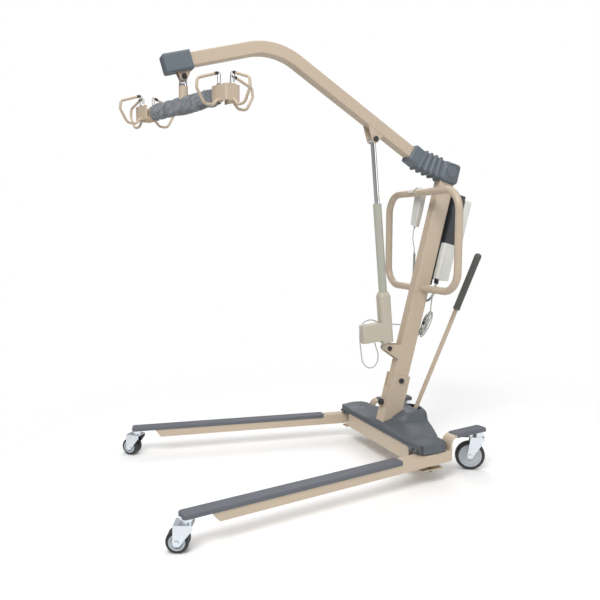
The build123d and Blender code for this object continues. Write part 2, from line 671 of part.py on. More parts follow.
# ======================= mast =======================
pivot = mast_point(PIVOT_Z)
MAST_OVER = 33.0          # mast tube beyond the boom pivot
act_foot = Vector(ACT_FOOT[0], 0, ACT_FOOT[1])
act_head = Vector(ACT_HEAD[0], 0, ACT_HEAD[1])
GUSSET = 6.0
mast_length = (PIVOT_Z - MAST_START_Z) / cos_l + MAST_OVER
with BuildPart() as mast_tube:
    with BuildSketch(mast_plane(MAST_START_Z)):
        RectangleRounded(MAST_DEPTH, MAST_WIDTH, 5)
        RectangleRounded(MAST_DEPTH - 2 * WALL, MAST_WIDTH - 2 * WALL, 2, mode=Mode.SUBTRACT)
    extrude(amount=mast_length)
    with BuildSketch(mast_plane(MAST_START_Z).offset(mast_length - 3)):
        RectangleRounded(MAST_DEPTH, MAST_WIDTH, 5)
    extrude(amount=3)
    # bush for the boom's pivot pin
    with BuildSketch(across(pivot.X, pivot.Z, MAST_WIDTH / 2)):
        Circle(PIVOT_R + 5)
    extrude(amount=MAST_WIDTH)
    with BuildSketch(across(pivot.X, pivot.Z, MAST_WIDTH / 2)):
        Circle(PIVOT_R + FIT)
    extrude(amount=MAST_WIDTH, mode=Mode.SUBTRACT)
    # bush for the fold bolt
    with BuildSketch(across(fold.X, fold.Z, MAST_WIDTH / 2)):
        Circle(BOLT_R + 4)
    extrude(amount=MAST_WIDTH)
    with BuildSketch(across(fold.X, fold.Z, MAST_WIDTH / 2)):
        Circle(BOLT_R + FIT)
    extrude(amount=MAST_WIDTH, mode=Mode.SUBTRACT)
    # gusset plates that hold the actuator's foot
    for low_y in (MAST_WIDTH / 2, -MAST_WIDTH / 2 + GUSSET):
        with BuildSketch(across(0, 0, low_y)):
            with Locations((ACT_FOOT[0], ACT_FOOT[1])):
                Circle(17)
            with BuildLine():
                Polyline((mast_point(515, 36).X, 515), (mast_point(450, 36).X, 450),
                         (mast_point(450, 20).X, 450), (mast_point(515, 20).X, 515), close=True)
            make_face()
            make_hull()
        extrude(amount=GUSSET)
    with BuildSketch(across(*ACT_FOOT, MAST_WIDTH / 2 + 1)):
        Circle(ACT_PIN_R + FIT)
    extrude(amount=MAST_WIDTH + 2, mode=Mode.SUBTRACT)
    # hole that the lock knob's pin enters
    with BuildSketch(Plane(origin=mast_point(KNOB_Z, MAST_DEPTH / 2 - WALL - 1), x_dir=Y, z_dir=MAST_FWD)):
        Circle(KNOB_PIN_R + 1)
    extrude(amount=WALL + 2, mode=Mode.SUBTRACT)
save(mast_tube.part, "mast_tube")

with BuildPart() as push_handle:
    with BuildLine() as loop:
        FilletPolyline(
            (HANDLE_X, MAST_WIDTH / 2, HANDLE_LOW), (HANDLE_X, HANDLE_HALF, HANDLE_LOW),
            (HANDLE_X, HANDLE_HALF, HANDLE_HIGH), (HANDLE_X, -HANDLE_HALF, HANDLE_HIGH),
            (HANDLE_X, -HANDLE_HALF, HANDLE_LOW), (HANDLE_X, -MAST_WIDTH / 2, HANDLE_LOW), radius=HANDLE_CORNER)
    with BuildSketch(Plane(origin=loop.line @ 0, z_dir=loop.line % 0)):
        Circle(HANDLE_R)
        Circle(HANDLE_R - 2, mode=Mode.SUBTRACT)
    sweep(path=loop.line)
save(push_handle.part, "push_handle")

# lock knob: a sprung pin through the bracket's front web, its tip just clear of the hole in the mast's foot
PIN_CLEAR = 0.3
knob_plane = Plane(origin=mast_point(KNOB_Z, MAST_DEPTH / 2 + PIN_CLEAR), x_dir=Y, z_dir=MAST_FWD)
web_out = web_x + BRACKET_WALL - MAST_DEPTH / 2 - PIN_CLEAR
with BuildPart() as lock_knob:
    with BuildSketch(knob_plane):
        Circle(KNOB_PIN_R)
    extrude(amount=web_out + 10)
    with BuildSketch(knob_plane.offset(web_out + 8)):
        Circle(15)
    extrude(amount=16)
    fillet(lock_knob.edges().filter_by(GeomType.CIRCLE).sort_by(SortBy.RADIUS)[-2:], 4)
save(lock_knob.part, "lock_knob")
# bolts that ride on the mast: boom pivot pin with its washers, actuator foot bolt
FORK_OUT = BOOM_WIDTH / 2 + FORK_PLATE
with BuildPart() as mast_bolts:
    with BuildSketch(across(pivot.X, pivot.Z, FORK_OUT + 3)):
        Circle(PIVOT_R)
    extrude(amount=2 * FORK_OUT + 6)
    with BuildSketch(across(pivot.X, pivot.Z, FORK_OUT + 6)):
        Circle(15)
    extrude(amount=5)
    with BuildSketch(across(pivot.X, pivot.Z, -FORK_OUT - 1)):
        Circle(15)
    extrude(amount=5)
    with BuildSketch(across(*ACT_FOOT, MAST_WIDTH / 2 + 6)):
        Circle(ACT_PIN_R)
    extrude(amount=MAST_WIDTH + 12)
    for start in (MAST_WIDTH / 2 + 6, -MAST_WIDTH / 2):
        with BuildSketch(across(*ACT_FOOT, start)):
            Circle(10)
        extrude(amount=6)
save(mast_bolts.part, "mast_bolts")

# rubber boot over the pivot: head block, ribs and collar, hollow
u_back = Vector(cos(radians(BOOM_RISE)), 0, sin(radians(BOOM_RISE)))
u_front = Vector(cos(radians(BOOM_DROP)), 0, -sin(radians(BOOM_DROP)))
corner_pt = Vector(BOOM_CORNER[0], 0, BOOM_CORNER[1])
boom_start = corner_pt - u_back * BOOM_BACK
BOOT_WALL = 3.5
BOOT_HALF = FORK_OUT + 7 + BOOT_WALL
COLLAR_HALF = BOOM_WIDTH / 2 + FORK_PLATE + 2.5
collar_start = boom_start + u_back * 62
collar_end = boom_start + u_back * 122
block_front = pivot + MAST_FWD * 46


def boot_form(inset):
    """The boot's outer form, or with an inset the hollow in it."""
    with BuildPart() as form:
        with BuildSketch(Plane(origin=pivot, x_dir=MAST_FWD, z_dir=(0, -1, 0))):
            with Locations((-2, -4)):
                RectangleRounded(96 - 2 * inset, 92 - 2 * inset, 14)
        extrude(amount=BOOT_HALF - inset, both=True)
        steps = 5
        for i in range(steps):
            share = (i + 0.5) / steps
            middle = block_front * (1 - share) + collar_start * share
            turn = MAST_LEAN + (BOOM_RISE - MAST_LEAN) * share
            across_dir = Vector(cos(radians(turn)), 0, sin(radians(turn)))
            ridge = 0 if i % 2 or inset else 1
            with BuildSketch(Plane(origin=middle, x_dir=across_dir, z_dir=(0, -1, 0))):
                Rectangle(38 if inset else 26, 87 - 4 * share + 7 * ridge - 2 * inset)
            extrude(amount=COLLAR_HALF + 2 - inset + 3 * ridge, both=True)
        with BuildSketch(Plane(origin=(collar_start + collar_end) * 0.5, x_dir=u_back, z_dir=(0, -1, 0))):
            Rectangle(64 + 6 * (1 if inset else 0), 76 - 2 * inset)
        extrude(amount=COLLAR_HALF + 3 - inset, both=True)
    return form.part


boot_outer, boot_inner = boot_form(0), boot_form(BOOT_WALL)
with BuildPart() as boom_boot:
    add(boot_outer)
    with BuildSketch(across(pivot.X, pivot.Z, BOOT_HALF + 5)):
        Circle(37)
    extrude(amount=2 * BOOT_HALF + 10)
    add(boot_inner, mode=Mode.SUBTRACT)
    # opening for the mast below
    with BuildSketch(mast_plane(PIVOT_Z - 90)):
        RectangleRounded(MAST_DEPTH + 3, MAST_WIDTH + 3, 5)
    extrude(amount=70, mode=Mode.SUBTRACT)
save(boom_boot.part, "boom_boot")

# ---- control box, battery and handset ----
MOUNT_THICK = 8.0
BOX_DEPTH = 92.0
BOX_LOW_DEPTH = 66.0      # of the case below the battery, which the lever's grip passes behind
BOX_HALF = 50.0
BOX_LOW = 822.0
BOX_SPLIT = 980.0
BOX_TOP = 1182.0
BATTERY_TOP = 1198.0
BATTERY_DEPTH = 56.0
back = -MAST_DEPTH / 2
PLUG_LENGTH = 20.0
plug_places = (mast_point(BOX_LOW, -100, -20), mast_point(BOX_LOW, -70, 12))
with BuildPart() as control_mount:
    with BuildSketch(mast_plane(790, back - MOUNT_THICK / 2)):
        Rectangle(MOUNT_THICK, 44)
    extrude(amount=(1170 - 790) / cos_l)
    # plugs under the control box, for the handset's and the actuator's cables
    for place in plug_places:
        with BuildSketch(Plane(origin=place, x_dir=Y, z_dir=-MAST_DIR)):
            Circle(7.5)
        extrude(amount=PLUG_LENGTH)
save(control_mount.part, "control_mount")

box_front = back - MOUNT_THICK
shell_front = box_front - BATTERY_DEPTH - 2
with BuildPart() as control_box:
    with BuildSketch(mast_plane(BOX_LOW, box_front - BOX_LOW_DEPTH / 2)):
        RectangleRounded(BOX_LOW_DEPTH, 2 * BOX_HALF, 7)
    extrude(amount=(BOX_SPLIT - BOX_LOW) / cos_l)
    # back shell of the battery's cradle, a moulding of its own
    with BuildSketch(mast_plane(BOX_SPLIT + 0.3, (shell_front + box_front - BOX_DEPTH) / 2)):
        RectangleRounded(BOX_DEPTH - BATTERY_DEPTH - 2, 2 * BOX_HALF, 7)
    extrude(amount=(BOX_TOP - BOX_SPLIT) / cos_l)
    with BuildSketch(mast_plane(BOX_LOW + 12, box_front - BOX_LOW_DEPTH / 2)):
        Rectangle(BOX_LOW_DEPTH - 8, 2 * BOX_HALF - 8)
    extrude(amount=(BOX_SPLIT - BOX_LOW - 24) / cos_l, mode=Mode.SUBTRACT)
    # groove down each side of the case
    for side in SIDES.values():
        with BuildSketch(mast_plane(BOX_LOW + 14, box_front - 20, side * BOX_HALF)):
            Rectangle(12, 4)
        extrude(amount=(BOX_SPLIT - BOX_LOW - 26) / cos_l, mode=Mode.SUBTRACT)
    # the stop button sits on the right face
    STOP_Z = 905.0
    STOP_BACK = 44.0
    with BuildSketch(Plane(origin=mast_point(STOP_Z, box_front - STOP_BACK, 5 - BOX_HALF), x_dir=MAST_FWD, z_dir=-Y)):
        Circle(12.5)
    extrude(amount=10, mode=Mode.SUBTRACT)
save(control_box.part, "control_box")

with BuildPart() as battery:
    with BuildSketch(mast_plane(BOX_SPLIT + 2, box_front - 1 - BATTERY_DEPTH / 2)):
        RectangleRounded(BATTERY_DEPTH - 2, 2 * BOX_HALF - 6, 6)
    extrude(amount=(BATTERY_TOP - BOX_SPLIT - 2) / cos_l)
save(battery.part, "battery")

with BuildPart() as stop_button:
    button_plane = Plane(origin=mast_point(STOP_Z, box_front - STOP_BACK, -BOX_HALF), x_dir=MAST_FWD, z_dir=-Y)
    with BuildSketch(button_plane):
        Circle(10)
    extrude(amount=8)
    with BuildSketch(button_plane.offset(7)):
        Circle(14)
    extrude(amount=9)
    fillet(stop_button.edges().filter_by(GeomType.CIRCLE).sort_by(SortBy.RADIUS)[-2:], 3)
save(stop_button.part, "stop_button")

HANDSET_TILT = 17.0
HANDSET_FOOT = (-190.0, -104.0, 1046.0)
HANDSET_LENGTH = 172.0
HANDSET_WIDTH = 56.0
HANDSET_THICK = 30.0
hang_dir = Vector(0, sin(radians(HANDSET_TILT)), cos(radians(HANDSET_TILT)))
handset_foot = Vector(*HANDSET_FOOT)
handset_plane = Plane(origin=handset_foot, x_dir=(1, 0, 0), z_dir=hang_dir)
with BuildPart() as handset_case:
    with BuildSketch(handset_plane):
        RectangleRounded(HANDSET_THICK - 6, HANDSET_WIDTH - 14, 6)
    with BuildSketch(handset_plane.offset(60)):
        RectangleRounded(HANDSET_THICK - 2, HANDSET_WIDTH - 4, 7)
    with BuildSketch(handset_plane.offset(HANDSET_LENGTH)):
        RectangleRounded(HANDSET_THICK, HANDSET_WIDTH, 7)
    loft(ruled=True)
    # strain relief at the foot
    with BuildSketch(handset_plane.offset(-12)):
        Circle(4.5)
    extrude(amount=14)
    # hook over the handle's top tube
    hook_y = (handset_foot + hang_dir * 150).Y
    with BuildSketch(across(HANDLE_X, HANDLE_HIGH, hook_y + 17)):
        Circle(HANDLE_R + 5)
        Circle(HANDLE_R + 1, mode=Mode.SUBTRACT)
        with Locations((0, -HANDLE_R - 5)):
            Rectangle(60, 2 * (HANDLE_R + 5), mode=Mode.SUBTRACT)
    extrude(amount=34)
    for along in (88, 116):
        face = handset_foot + hang_dir * along - Vector(HANDSET_THICK / 2 - 4, 0, 0)
        with BuildSketch(Plane(origin=face, x_dir=(0, 1, 0), z_dir=(-1, 0, 0))):
            Circle(9.4)
        extrude(amount=10, mode=Mode.SUBTRACT)
save(handset_case.part, "handset_case")
for along, name in ((88, "down"), (116, "up")):
    face = handset_foot + hang_dir * along - Vector(HANDSET_THICK / 2 - 4, 0, 0)
    with BuildPart() as button:
        with BuildSketch(Plane(origin=face, x_dir=(0, 1, 0), z_dir=(-1, 0, 0)).offset(1.8)):
            Circle(9)
        extrude(amount=4.4)
        fillet(button.edges().filter_by(GeomType.CIRCLE).sort_by(Axis.X)[0], 1)
    save(button.part, f"handset_button_{name}")

# ======================= boom =======================
boom_end = corner_pt + u_front * BOOM_FRONT
with BuildPart() as boom_tube:
    with BuildLine() as boom_path:
        FilletPolyline(boom_start, corner_pt, boom_end, radius=BOOM_BEND_R)
    with BuildSketch(Plane(origin=boom_start, x_dir=Y, z_dir=u_back)):
        RectangleRounded(BOOM_WIDTH, BOOM_HEIGHT, 5)
        RectangleRounded(BOOM_WIDTH - 2 * WALL, BOOM_HEIGHT - 2 * WALL, 2, mode=Mode.SUBTRACT)
    sweep(path=boom_path.line)
    # fork plates either side of the mast's head
    for start in (FORK_OUT, -BOOM_WIDTH / 2):
        with BuildSketch(across(0, 0, start)):
            with Locations((pivot.X, pivot.Z)):
                Circle(24)
            with Locations(Plane(origin=(boom_start.X + 38, boom_start.Z + 23, 0), x_dir=(u_back.X, u_back.Z, 0))):
                Rectangle(86, BOOM_HEIGHT - 8)
            make_hull()
        extrude(amount=FORK_PLATE)
    with BuildSketch(across(pivot.X, pivot.Z, FORK_OUT)):
        Circle(PIVOT_R + FIT)
    extrude(amount=2 * FORK_OUT, mode=Mode.SUBTRACT)
    # clevis plates for the actuator's rod
    CLEVIS_IN = 17.5
    for start in (CLEVIS_IN + 6, -CLEVIS_IN):
        with BuildSketch(across(0, 0, start)):
            with Locations(ACT_HEAD):
                Circle(17)
            with BuildLine():
                Polyline((ACT_HEAD[0] - 34, 1420), (ACT_HEAD[0] - 30, 1432), (ACT_HEAD[0] + 34, 1470),
                         (ACT_HEAD[0] + 34, 1460), close=True)
            make_face()
            make_hull()
        extrude(amount=6)
    # clevis plates for the hanger, under the front end
    for start in (17, -12):
        with BuildSketch(across(0, 0, start)):
            with Locations((HANGER_X, HANGER_BOLT_Z)):
                Circle(15)
            with BuildLine():
                Polyline((HANGER_X - 26, 1628), (HANGER_X - 22, 1600), (HANGER_X + 22, 1600),
                         (HANGER_X + 26, 1613.6), close=True)
            make_face()
            make_hull()
        extrude(amount=5)
    for (x, z), radius in ((ACT_HEAD, ACT_PIN_R), ((HANGER_X, HANGER_BOLT_Z), 6)):
        with BuildSketch(across(x, z, 40)):
            Circle(radius + FIT)
        extrude(amount=80, mode=Mode.SUBTRACT)
save(boom_tube.part, "boom_tube")

CAP_START = 349.0
cap_plane = Plane(origin=corner_pt + u_front * CAP_START, x_dir=Y, z_dir=u_front)
with BuildPart() as boom_cap:
    with BuildSketch(cap_plane):
        RectangleRounded(BOOM_WIDTH + 2 * CAP_WALL, BOOM_HEIGHT + 2 * CAP_WALL + 6, 9)
    extrude(amount=CAP_LENGTH)
    fillet(boom_cap.faces().sort_by(Axis.X)[-1].edges(), 8)
    with BuildSketch(cap_plane.offset(-1)):
        Rectangle(BOOM_WIDTH, BOOM_HEIGHT)
    extrude(amount=BOOM_FRONT - CAP_START + 1, mode=Mode.SUBTRACT)
    with BuildSketch(Plane.XY.offset(HANGER_BOLT_Z - 30)):
        with Locations((HANGER_X, 0)):
            Rectangle(56, 38)
    extrude(amount=74, mode=Mode.SUBTRACT)
save(boom_cap.part, "boom_cap")

with BuildPart() as boom_bolts:
    for start, head in ((CLEVIS_IN + 6 + 8, CLEVIS_IN + 6 + 8), (-CLEVIS_IN - 0.5, -CLEVIS_IN - 6)):
        with BuildSketch(across(*ACT_HEAD, start)):
            Circle(ACT_PIN_R)
        extrude(amount=13)
        with BuildSketch(across(*ACT_HEAD, head)):
            Circle(10.5)
        extrude(amount=8)
    with BuildSketch(across(HANGER_X, HANGER_BOLT_Z, 24)):
        Circle(6)
    extrude(amount=48)
    for start in (24, -17):
        with BuildSketch(across(HANGER_X, HANGER_BOLT_Z, start)):
            Circle(10)
        extrude(amount=7)
save(boom_bolts.part, "boom_bolts")

# ======================= actuator =======================
act_dir = (act_head - act_foot).normalized()
act_fwd = Vector(act_dir.Z, 0, -act_dir.X)
act_length = (act_head - act_foot).length


def act_plane(along, forward=0.0, y=0.0):
    return Plane(origin=act_foot + act_dir * along + act_fwd * forward + Y * y, x_dir=act_fwd, z_dir=act_dir)


HOUSING_LOW = 26.0
HOUSING_HIGH = 250.0
SHOULDER = 16.0
LUG_HALF = MAST_WIDTH / 2 - GUSSET - GAP
with BuildPart() as actuator_housing:
    with BuildSketch(act_plane(HOUSING_LOW)):
        RectangleRounded(HOUSING_X, HOUSING_Y, 13)
    extrude(amount=HOUSING_HIGH - SHOULDER - HOUSING_LOW)
    with BuildSketch(act_plane(HOUSING_HIGH - SHOULDER)):
        RectangleRounded(HOUSING_X, HOUSING_Y, 13)
    with BuildSketch(act_plane(HOUSING_HIGH)):
        RectangleRounded(HOUSING_X - 14, HOUSING_Y - 10, 13)
    loft(ruled=True)
    # motor case ahead of the housing's foot
    with BuildSketch(act_plane(HOUSING_LOW + 12, (HOUSING_X / 2 + MOTOR_LENGTH) / 2 + 4)):
        RectangleRounded(HOUSING_X / 2 + MOTOR_LENGTH, MOTOR_WIDTH, 12)
    extrude(amount=MOTOR_HEIGHT)
    # hollow inside
    with BuildSketch(act_plane(HOUSING_LOW + 4)):
        RectangleRounded(HOUSING_X - 8, HOUSING_Y - 8, 9)
    extrude(amount=HOUSING_HIGH - SHOULDER - HOUSING_LOW - 8, mode=Mode.SUBTRACT)
    with BuildSketch(act_plane(HOUSING_LOW + 16, (HOUSING_X / 2 + MOTOR_LENGTH) / 2)):
        RectangleRounded(HOUSING_X / 2 + MOTOR_LENGTH - 4, MOTOR_WIDTH - 8, 8)
    extrude(amount=MOTOR_HEIGHT - 8, mode=Mode.SUBTRACT)
    # lug for the foot bolt
    with BuildSketch(Plane(origin=act_foot + Y * LUG_HALF, x_dir=act_fwd, z_dir=(0, -1, 0))):
        Circle(14)
        with Locations((0, HOUSING_LOW / 2 + 1)):
            Rectangle(28, HOUSING_LOW + 2)
    extrude(amount=2 * LUG_HALF)
    with BuildSketch(Plane(origin=act_foot + Y * LUG_HALF, x_dir=act_fwd, z_dir=(0, -1, 0))):
        Circle(ACT_PIN_R + FIT)
    extrude(amount=2 * LUG_HALF, mode=Mode.SUBTRACT)
    # room for the spindle where it leaves the housing
    with BuildSketch(act_plane(HOUSING_HIGH - SHOULDER - 5)):
        Circle(6)
    extrude(amount=SHOULDER + 6, mode=Mode.SUBTRACT)
save(actuator_housing.part, "actuator_housing")

with BuildPart() as actuator_tube:
    with BuildSketch(act_plane(HOUSING_HIGH)):
        Circle(TUBE_R)
        Circle(TUBE_R - 2.5, mode=Mode.SUBTRACT)
    extrude(amount=TUBE_LENGTH)
    with BuildSketch(act_plane(HOUSING_HIGH + TUBE_LENGTH - 14)):
        Circle(TUBE_R)
        Circle(ROD_R + FIT, mode=Mode.SUBTRACT)
    extrude(amount=14)
save(actuator_tube.part, "actuator_tube")

ROD_START = 572.0
with BuildPart() as lift_spindle:
    with BuildSketch(act_plane(HOUSING_LOW + 30)):
        Circle(5)
    extrude(amount=ROD_START - HOUSING_LOW - 4)
    # worm wheel at its foot
    with BuildSketch(act_plane(HOUSING_LOW + 46)):
        Circle(19)
    extrude(amount=12)
    # motor beside it, inside the housing
    with BuildSketch(Plane(origin=act_foot + act_dir * (HOUSING_LOW + 51) + act_fwd * 28, x_dir=Y, z_dir=act_fwd)):
        Circle(17)
    extrude(amount=MOTOR_LENGTH - 16)
    with BuildSketch(Plane(origin=act_foot + act_dir * (HOUSING_LOW + 51) + act_fwd * 21, x_dir=Y, z_dir=act_fwd)):
        Circle(3)
    extrude(amount=8)
save(lift_spindle.part, "lift_spindle")

with BuildPart() as lift_rod:
    with BuildSketch(act_plane(ROD_START)):
        Circle(ROD_R)
    extrude(amount=act_length - ROD_START - 12)
    with BuildSketch(act_plane(ROD_START)):
        Circle(TUBE_R - 2.5 - 0.1)
    extrude(amount=24)
    with BuildSketch(act_plane(ROD_START)):
        Circle(ROD_BORE_R)
    extrude(amount=act_length - ROD_START - 30, mode=Mode.SUBTRACT)
    with BuildSketch(across(*ACT_HEAD, CLEVIS_IN - 1.5)):
        Circle(15)
    extrude(amount=2 * (CLEVIS_IN - 1.5))
save(lift_rod.part, "lift_rod")

# ======================= hanger =======================
EYE_R = 11.0
with BuildPart() as hanger_link:
    with BuildLine() as eye:
        Line((HANGER_X - EYE_R, 0, STEM_TOP), (HANGER_X - EYE_R, 0, HANGER_BOLT_Z))
        ThreePointArc((HANGER_X - EYE_R, 0, HANGER_BOLT_Z), (HANGER_X, 0, HANGER_BOLT_Z + EYE_R),
                      (HANGER_X + EYE_R, 0, HANGER_BOLT_Z))
        Line((HANGER_X + EYE_R, 0, HANGER_BOLT_Z), (HANGER_X + EYE_R, 0, STEM_TOP))
    with BuildSketch(Plane(origin=eye.line @ 0, z_dir=eye.line % 0)):
        Circle(4.5)
    sweep(path=eye.line)
    with BuildSketch(Plane.XY.offset(STEM_TOP - 7)):
        with Locations((HANGER_X, 0)):
            Circle(16)
    extrude(amount=8)
    with BuildSketch(Plane.XY.offset(STEM_TOP - 32)):
        with Locations((HANGER_X, 0)):
            Circle(6)
    extrude(amount=26)
save(hanger_link.part, "hanger_link")

turn_h = radians(HANGER_TURN)
hang_x = Vector(cos(turn_h), sin(turn_h), 0)
hang_y = Vector(-sin(turn_h), cos(turn_h), 0)
hang_centre = Vector(HANGER_X, 0, 0)


def hang_point(x, y, z):
    return hang_centre + hang_x * x + hang_y * y + Z * z


def hang_plane(z):
    return Plane(origin=hang_centre + Z * z, x_dir=hang_x, z_dir=(0, 0, 1))


with BuildPart() as hanger_bar:
    with BuildSketch(hang_plane(BAR_Z + BAR_HEIGHT / 2 - 3)):
        Circle(STEM_R)
    extrude(amount=STEM_TOP - 7 - GAP - BAR_Z - BAR_HEIGHT / 2 + 3)
    with BuildSketch(hang_plane(BAR_Z - BAR_HEIGHT / 2)):
        Rectangle(BAR_DEPTH, 2 * BAR_HALF)
    extrude(amount=BAR_HEIGHT)
    with BuildSketch(hang_plane(STEM_TOP - 33)):
        Circle(6 + FIT)
    extrude(amount=30, mode=Mode.SUBTRACT)
save(hanger_bar.part, "hanger_bar")

SLEEVE_HEIGHT = 64.0
SLEEVE_DEPTH = 44.0
SLEEVE_HALF = 216.0
with BuildPart() as hanger_sleeve:
    with BuildSketch(Plane(origin=hang_point(0, -SLEEVE_HALF, BAR_Z - 2), x_dir=hang_x, z_dir=hang_y)):
        RectangleRounded(SLEEVE_DEPTH, SLEEVE_HEIGHT, 18)
    extrude(amount=2 * SLEEVE_HALF)
    with BuildSketch(hang_plane(BAR_Z - BAR_HEIGHT / 2)):
        Rectangle(BAR_DEPTH, 2 * BAR_HALF)
    extrude(amount=BAR_HEIGHT, mode=Mode.SUBTRACT)
    with BuildSketch(hang_plane(BAR_Z)):
        Circle(STEM_R + 0.5)
    extrude(amount=60, mode=Mode.SUBTRACT)
save(hanger_sleeve.part, "hanger_sleeve")

HOOK_PATH = ((-1, -20), (24, -44), (60, -44), (90, 6), (86, 36), (0.5, 66))
HOOK_RADII = (20, 26, 14, 14)
KEEPER_HINGE_H = 30.5
KEEPER_BACK = 3.5


def hook_places(side):
    """Each hook's foot, outward direction and name, for one end of the bar."""
    half = END_DEPTH / 2
    return (
        ("front", hang_point(half, side * END_Y, BAR_Z), hang_x),
        ("outer", hang_point(0, side * (END_Y + END_LENGTH / 2), BAR_Z), hang_y * side),
        ("rear", hang_point(-half, side * END_Y, BAR_Z), hang_x * -1),
    )


for name, side in SIDES.items():
    with BuildPart() as hooks:
        # end bracket: a strip bent round the bar's end, and the block that joins it to the bar
        middle = side * END_Y
        with BuildSketch(hang_plane(BAR_Z - END_HEIGHT / 2)):
            with Locations((0, middle)):
                RectangleRounded(END_DEPTH, END_LENGTH, 9)
                RectangleRounded(END_DEPTH - 2 * END_PLATE, END_LENGTH - 2 * END_PLATE, 5, mode=Mode.SUBTRACT)
            with Locations((0, middle - side * END_LENGTH / 2)):
                Rectangle(END_DEPTH - 2 * END_PLATE, 24, mode=Mode.SUBTRACT)
        extrude(amount=END_HEIGHT)
        with BuildSketch(hang_plane(BAR_Z - 14)):
            with Locations((0, side * (BAR_HALF + 4))):
                Rectangle(END_DEPTH - 2, 8)
        extrude(amount=28)
        for _, foot, out in hook_places(side):
            with BuildLine() as wire:
                FilletPolyline(*[foot + out * s + Z * h for s, h in HOOK_PATH], radius=HOOK_RADII)
            with BuildSketch(Plane(origin=wire.line @ 0, z_dir=wire.line % 0)):
                Circle(HOOK_R)
            sweep(path=wire.line)
    save(hooks.part, f"hanger_hooks_{name}")
    # sprung wire keepers that close each hook's mouth
    for place, foot, out in hook_places(side):
        along = Vector(-out.Y, out.X, 0)
        hinge = foot - out * KEEPER_BACK + Z * KEEPER_HINGE_H
        with BuildPart() as keeper:
            with BuildLine() as bow:
                FilletPolyline(hinge + along * 8, hinge + along * 8 + Z * 37, hinge - along * 8 + Z * 37,
                               hinge - along * 8, radius=3)
            with BuildSketch(Plane(origin=bow.line @ 0, z_dir=bow.line % 0)):
                Circle(KEEPER_R)
            sweep(path=bow.line)
            with BuildSketch(Plane(origin=hinge - along * 12, x_dir=Z, z_dir=along)):
                Circle(2.9)
            extrude(amount=24)
        save(keeper.part, f"keeper_{place}_{name}")

# ======================= cords =======================
CABLE = 5.0
LEAD = 4.5
CURL = 12.5
handset_lead_route = (
    (-190, -107.8, 1033.6), (-190, -116, 1012), (-191, -120, 990), (-190, -114, 966), (-190, -105, 946),
    (-190, -102, 926),
)
curl_route = (
    (-190, -102.2, 925.4), (-190, -107, 796), (-193, -103, 745), (-202, -90, 710), (-219, -68, 697),
    (-235, -46, 700), (-244, -30, 722), (-251, -21.5, 750), tuple(plug_places[0] - MAST_DIR * (PLUG_LENGTH + 1.2)),
)
mast_cable_route = (
    tuple(plug_places[1] - MAST_DIR * (PLUG_LENGTH + 0.8)), (-224, 12, 763), (-219, 10, 735),
    (-216, 6, 707), (-215, 3, 682), (-213.9, 0.5, 658.6),
)
bridge_cable_route = (
    (-186, -19.4, 598), (-165, -27, 587), (-138, -35, 585), (-104, -38, 592), (-68, -37, 599), (-30, -36, 603),
)
motor_cable_route = (
    (-29.5, -36, 603), (2, -37, 606), (34, -37, 613), (60, -34, 625), (86, -24, 631), (116, -8, 629),
    (142, 9, 622), (158, 16, 598), (161, 19, 566), (157, 18, 530), (151, 16, 494), (146, 14, 460),
    (130, 13, 433), (104, 12, 420), (78, 11, 428), (62, 10, 455), (63, 9, 487), (74, 8, 514), (80, 8, 535.5),
)
cord_tube(LEAD, "handset_lead", handset_lead_route)
cord_tube(CURL, "handset_curl", curl_route)
cord_tube(CABLE, "actuator_lead", mast_cable_route, bridge_cable_route)
cord_tube(CABLE, "motor_lead", motor_cable_route)

HANK_AT = (-187.0, 0.0, 600.0)
HANK_DIR = Vector(-0.42, 0, 0.9075)
with BuildPart() as cable_hank:
    with BuildSketch(Plane(origin=Vector(*HANK_AT) - HANK_DIR * 62, x_dir=Y, z_dir=HANK_DIR)):
        RectangleRounded(26, 18, 8)
    with BuildSketch(Plane(origin=Vector(*HANK_AT), x_dir=Y, z_dir=HANK_DIR)):
        RectangleRounded(32, 24, 10)
    with BuildSketch(Plane(origin=Vector(*HANK_AT) + HANK_DIR * 62, x_dir=Y, z_dir=HANK_DIR)):
        RectangleRounded(26, 18, 8)
    loft(ruled=True)
save(cable_hank.part, "cable_hank")
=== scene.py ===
import json
import math

import bmesh
import bpy
from bpy.props import FloatProperty, FloatVectorProperty, IntProperty, PointerProperty
from mathutils import Matrix, Vector, noise


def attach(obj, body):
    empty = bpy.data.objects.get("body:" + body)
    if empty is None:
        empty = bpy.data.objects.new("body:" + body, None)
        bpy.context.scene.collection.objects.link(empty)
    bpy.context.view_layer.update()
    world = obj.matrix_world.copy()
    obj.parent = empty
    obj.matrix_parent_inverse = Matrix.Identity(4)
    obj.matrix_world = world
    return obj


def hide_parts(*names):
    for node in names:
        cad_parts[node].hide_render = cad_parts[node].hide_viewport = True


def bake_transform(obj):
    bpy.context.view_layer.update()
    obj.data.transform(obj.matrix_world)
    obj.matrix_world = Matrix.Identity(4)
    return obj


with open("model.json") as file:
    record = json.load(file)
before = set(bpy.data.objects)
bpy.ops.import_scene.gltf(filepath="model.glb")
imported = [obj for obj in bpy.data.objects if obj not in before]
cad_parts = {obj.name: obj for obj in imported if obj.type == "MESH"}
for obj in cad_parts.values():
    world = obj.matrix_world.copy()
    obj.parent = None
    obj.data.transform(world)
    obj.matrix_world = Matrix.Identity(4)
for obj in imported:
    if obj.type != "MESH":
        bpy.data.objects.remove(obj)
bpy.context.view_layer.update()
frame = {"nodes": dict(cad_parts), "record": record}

bl_info = {
    "name": "Patient lift looks",
    "version": (1, 0, 0),
    "blender": (4, 5, 0),
    "location": "View3D > Sidebar > Patient lift",
    "description": "Builds the soft, moulded and wired pieces of a patient lift around its frame",
    "category": "Object",
}

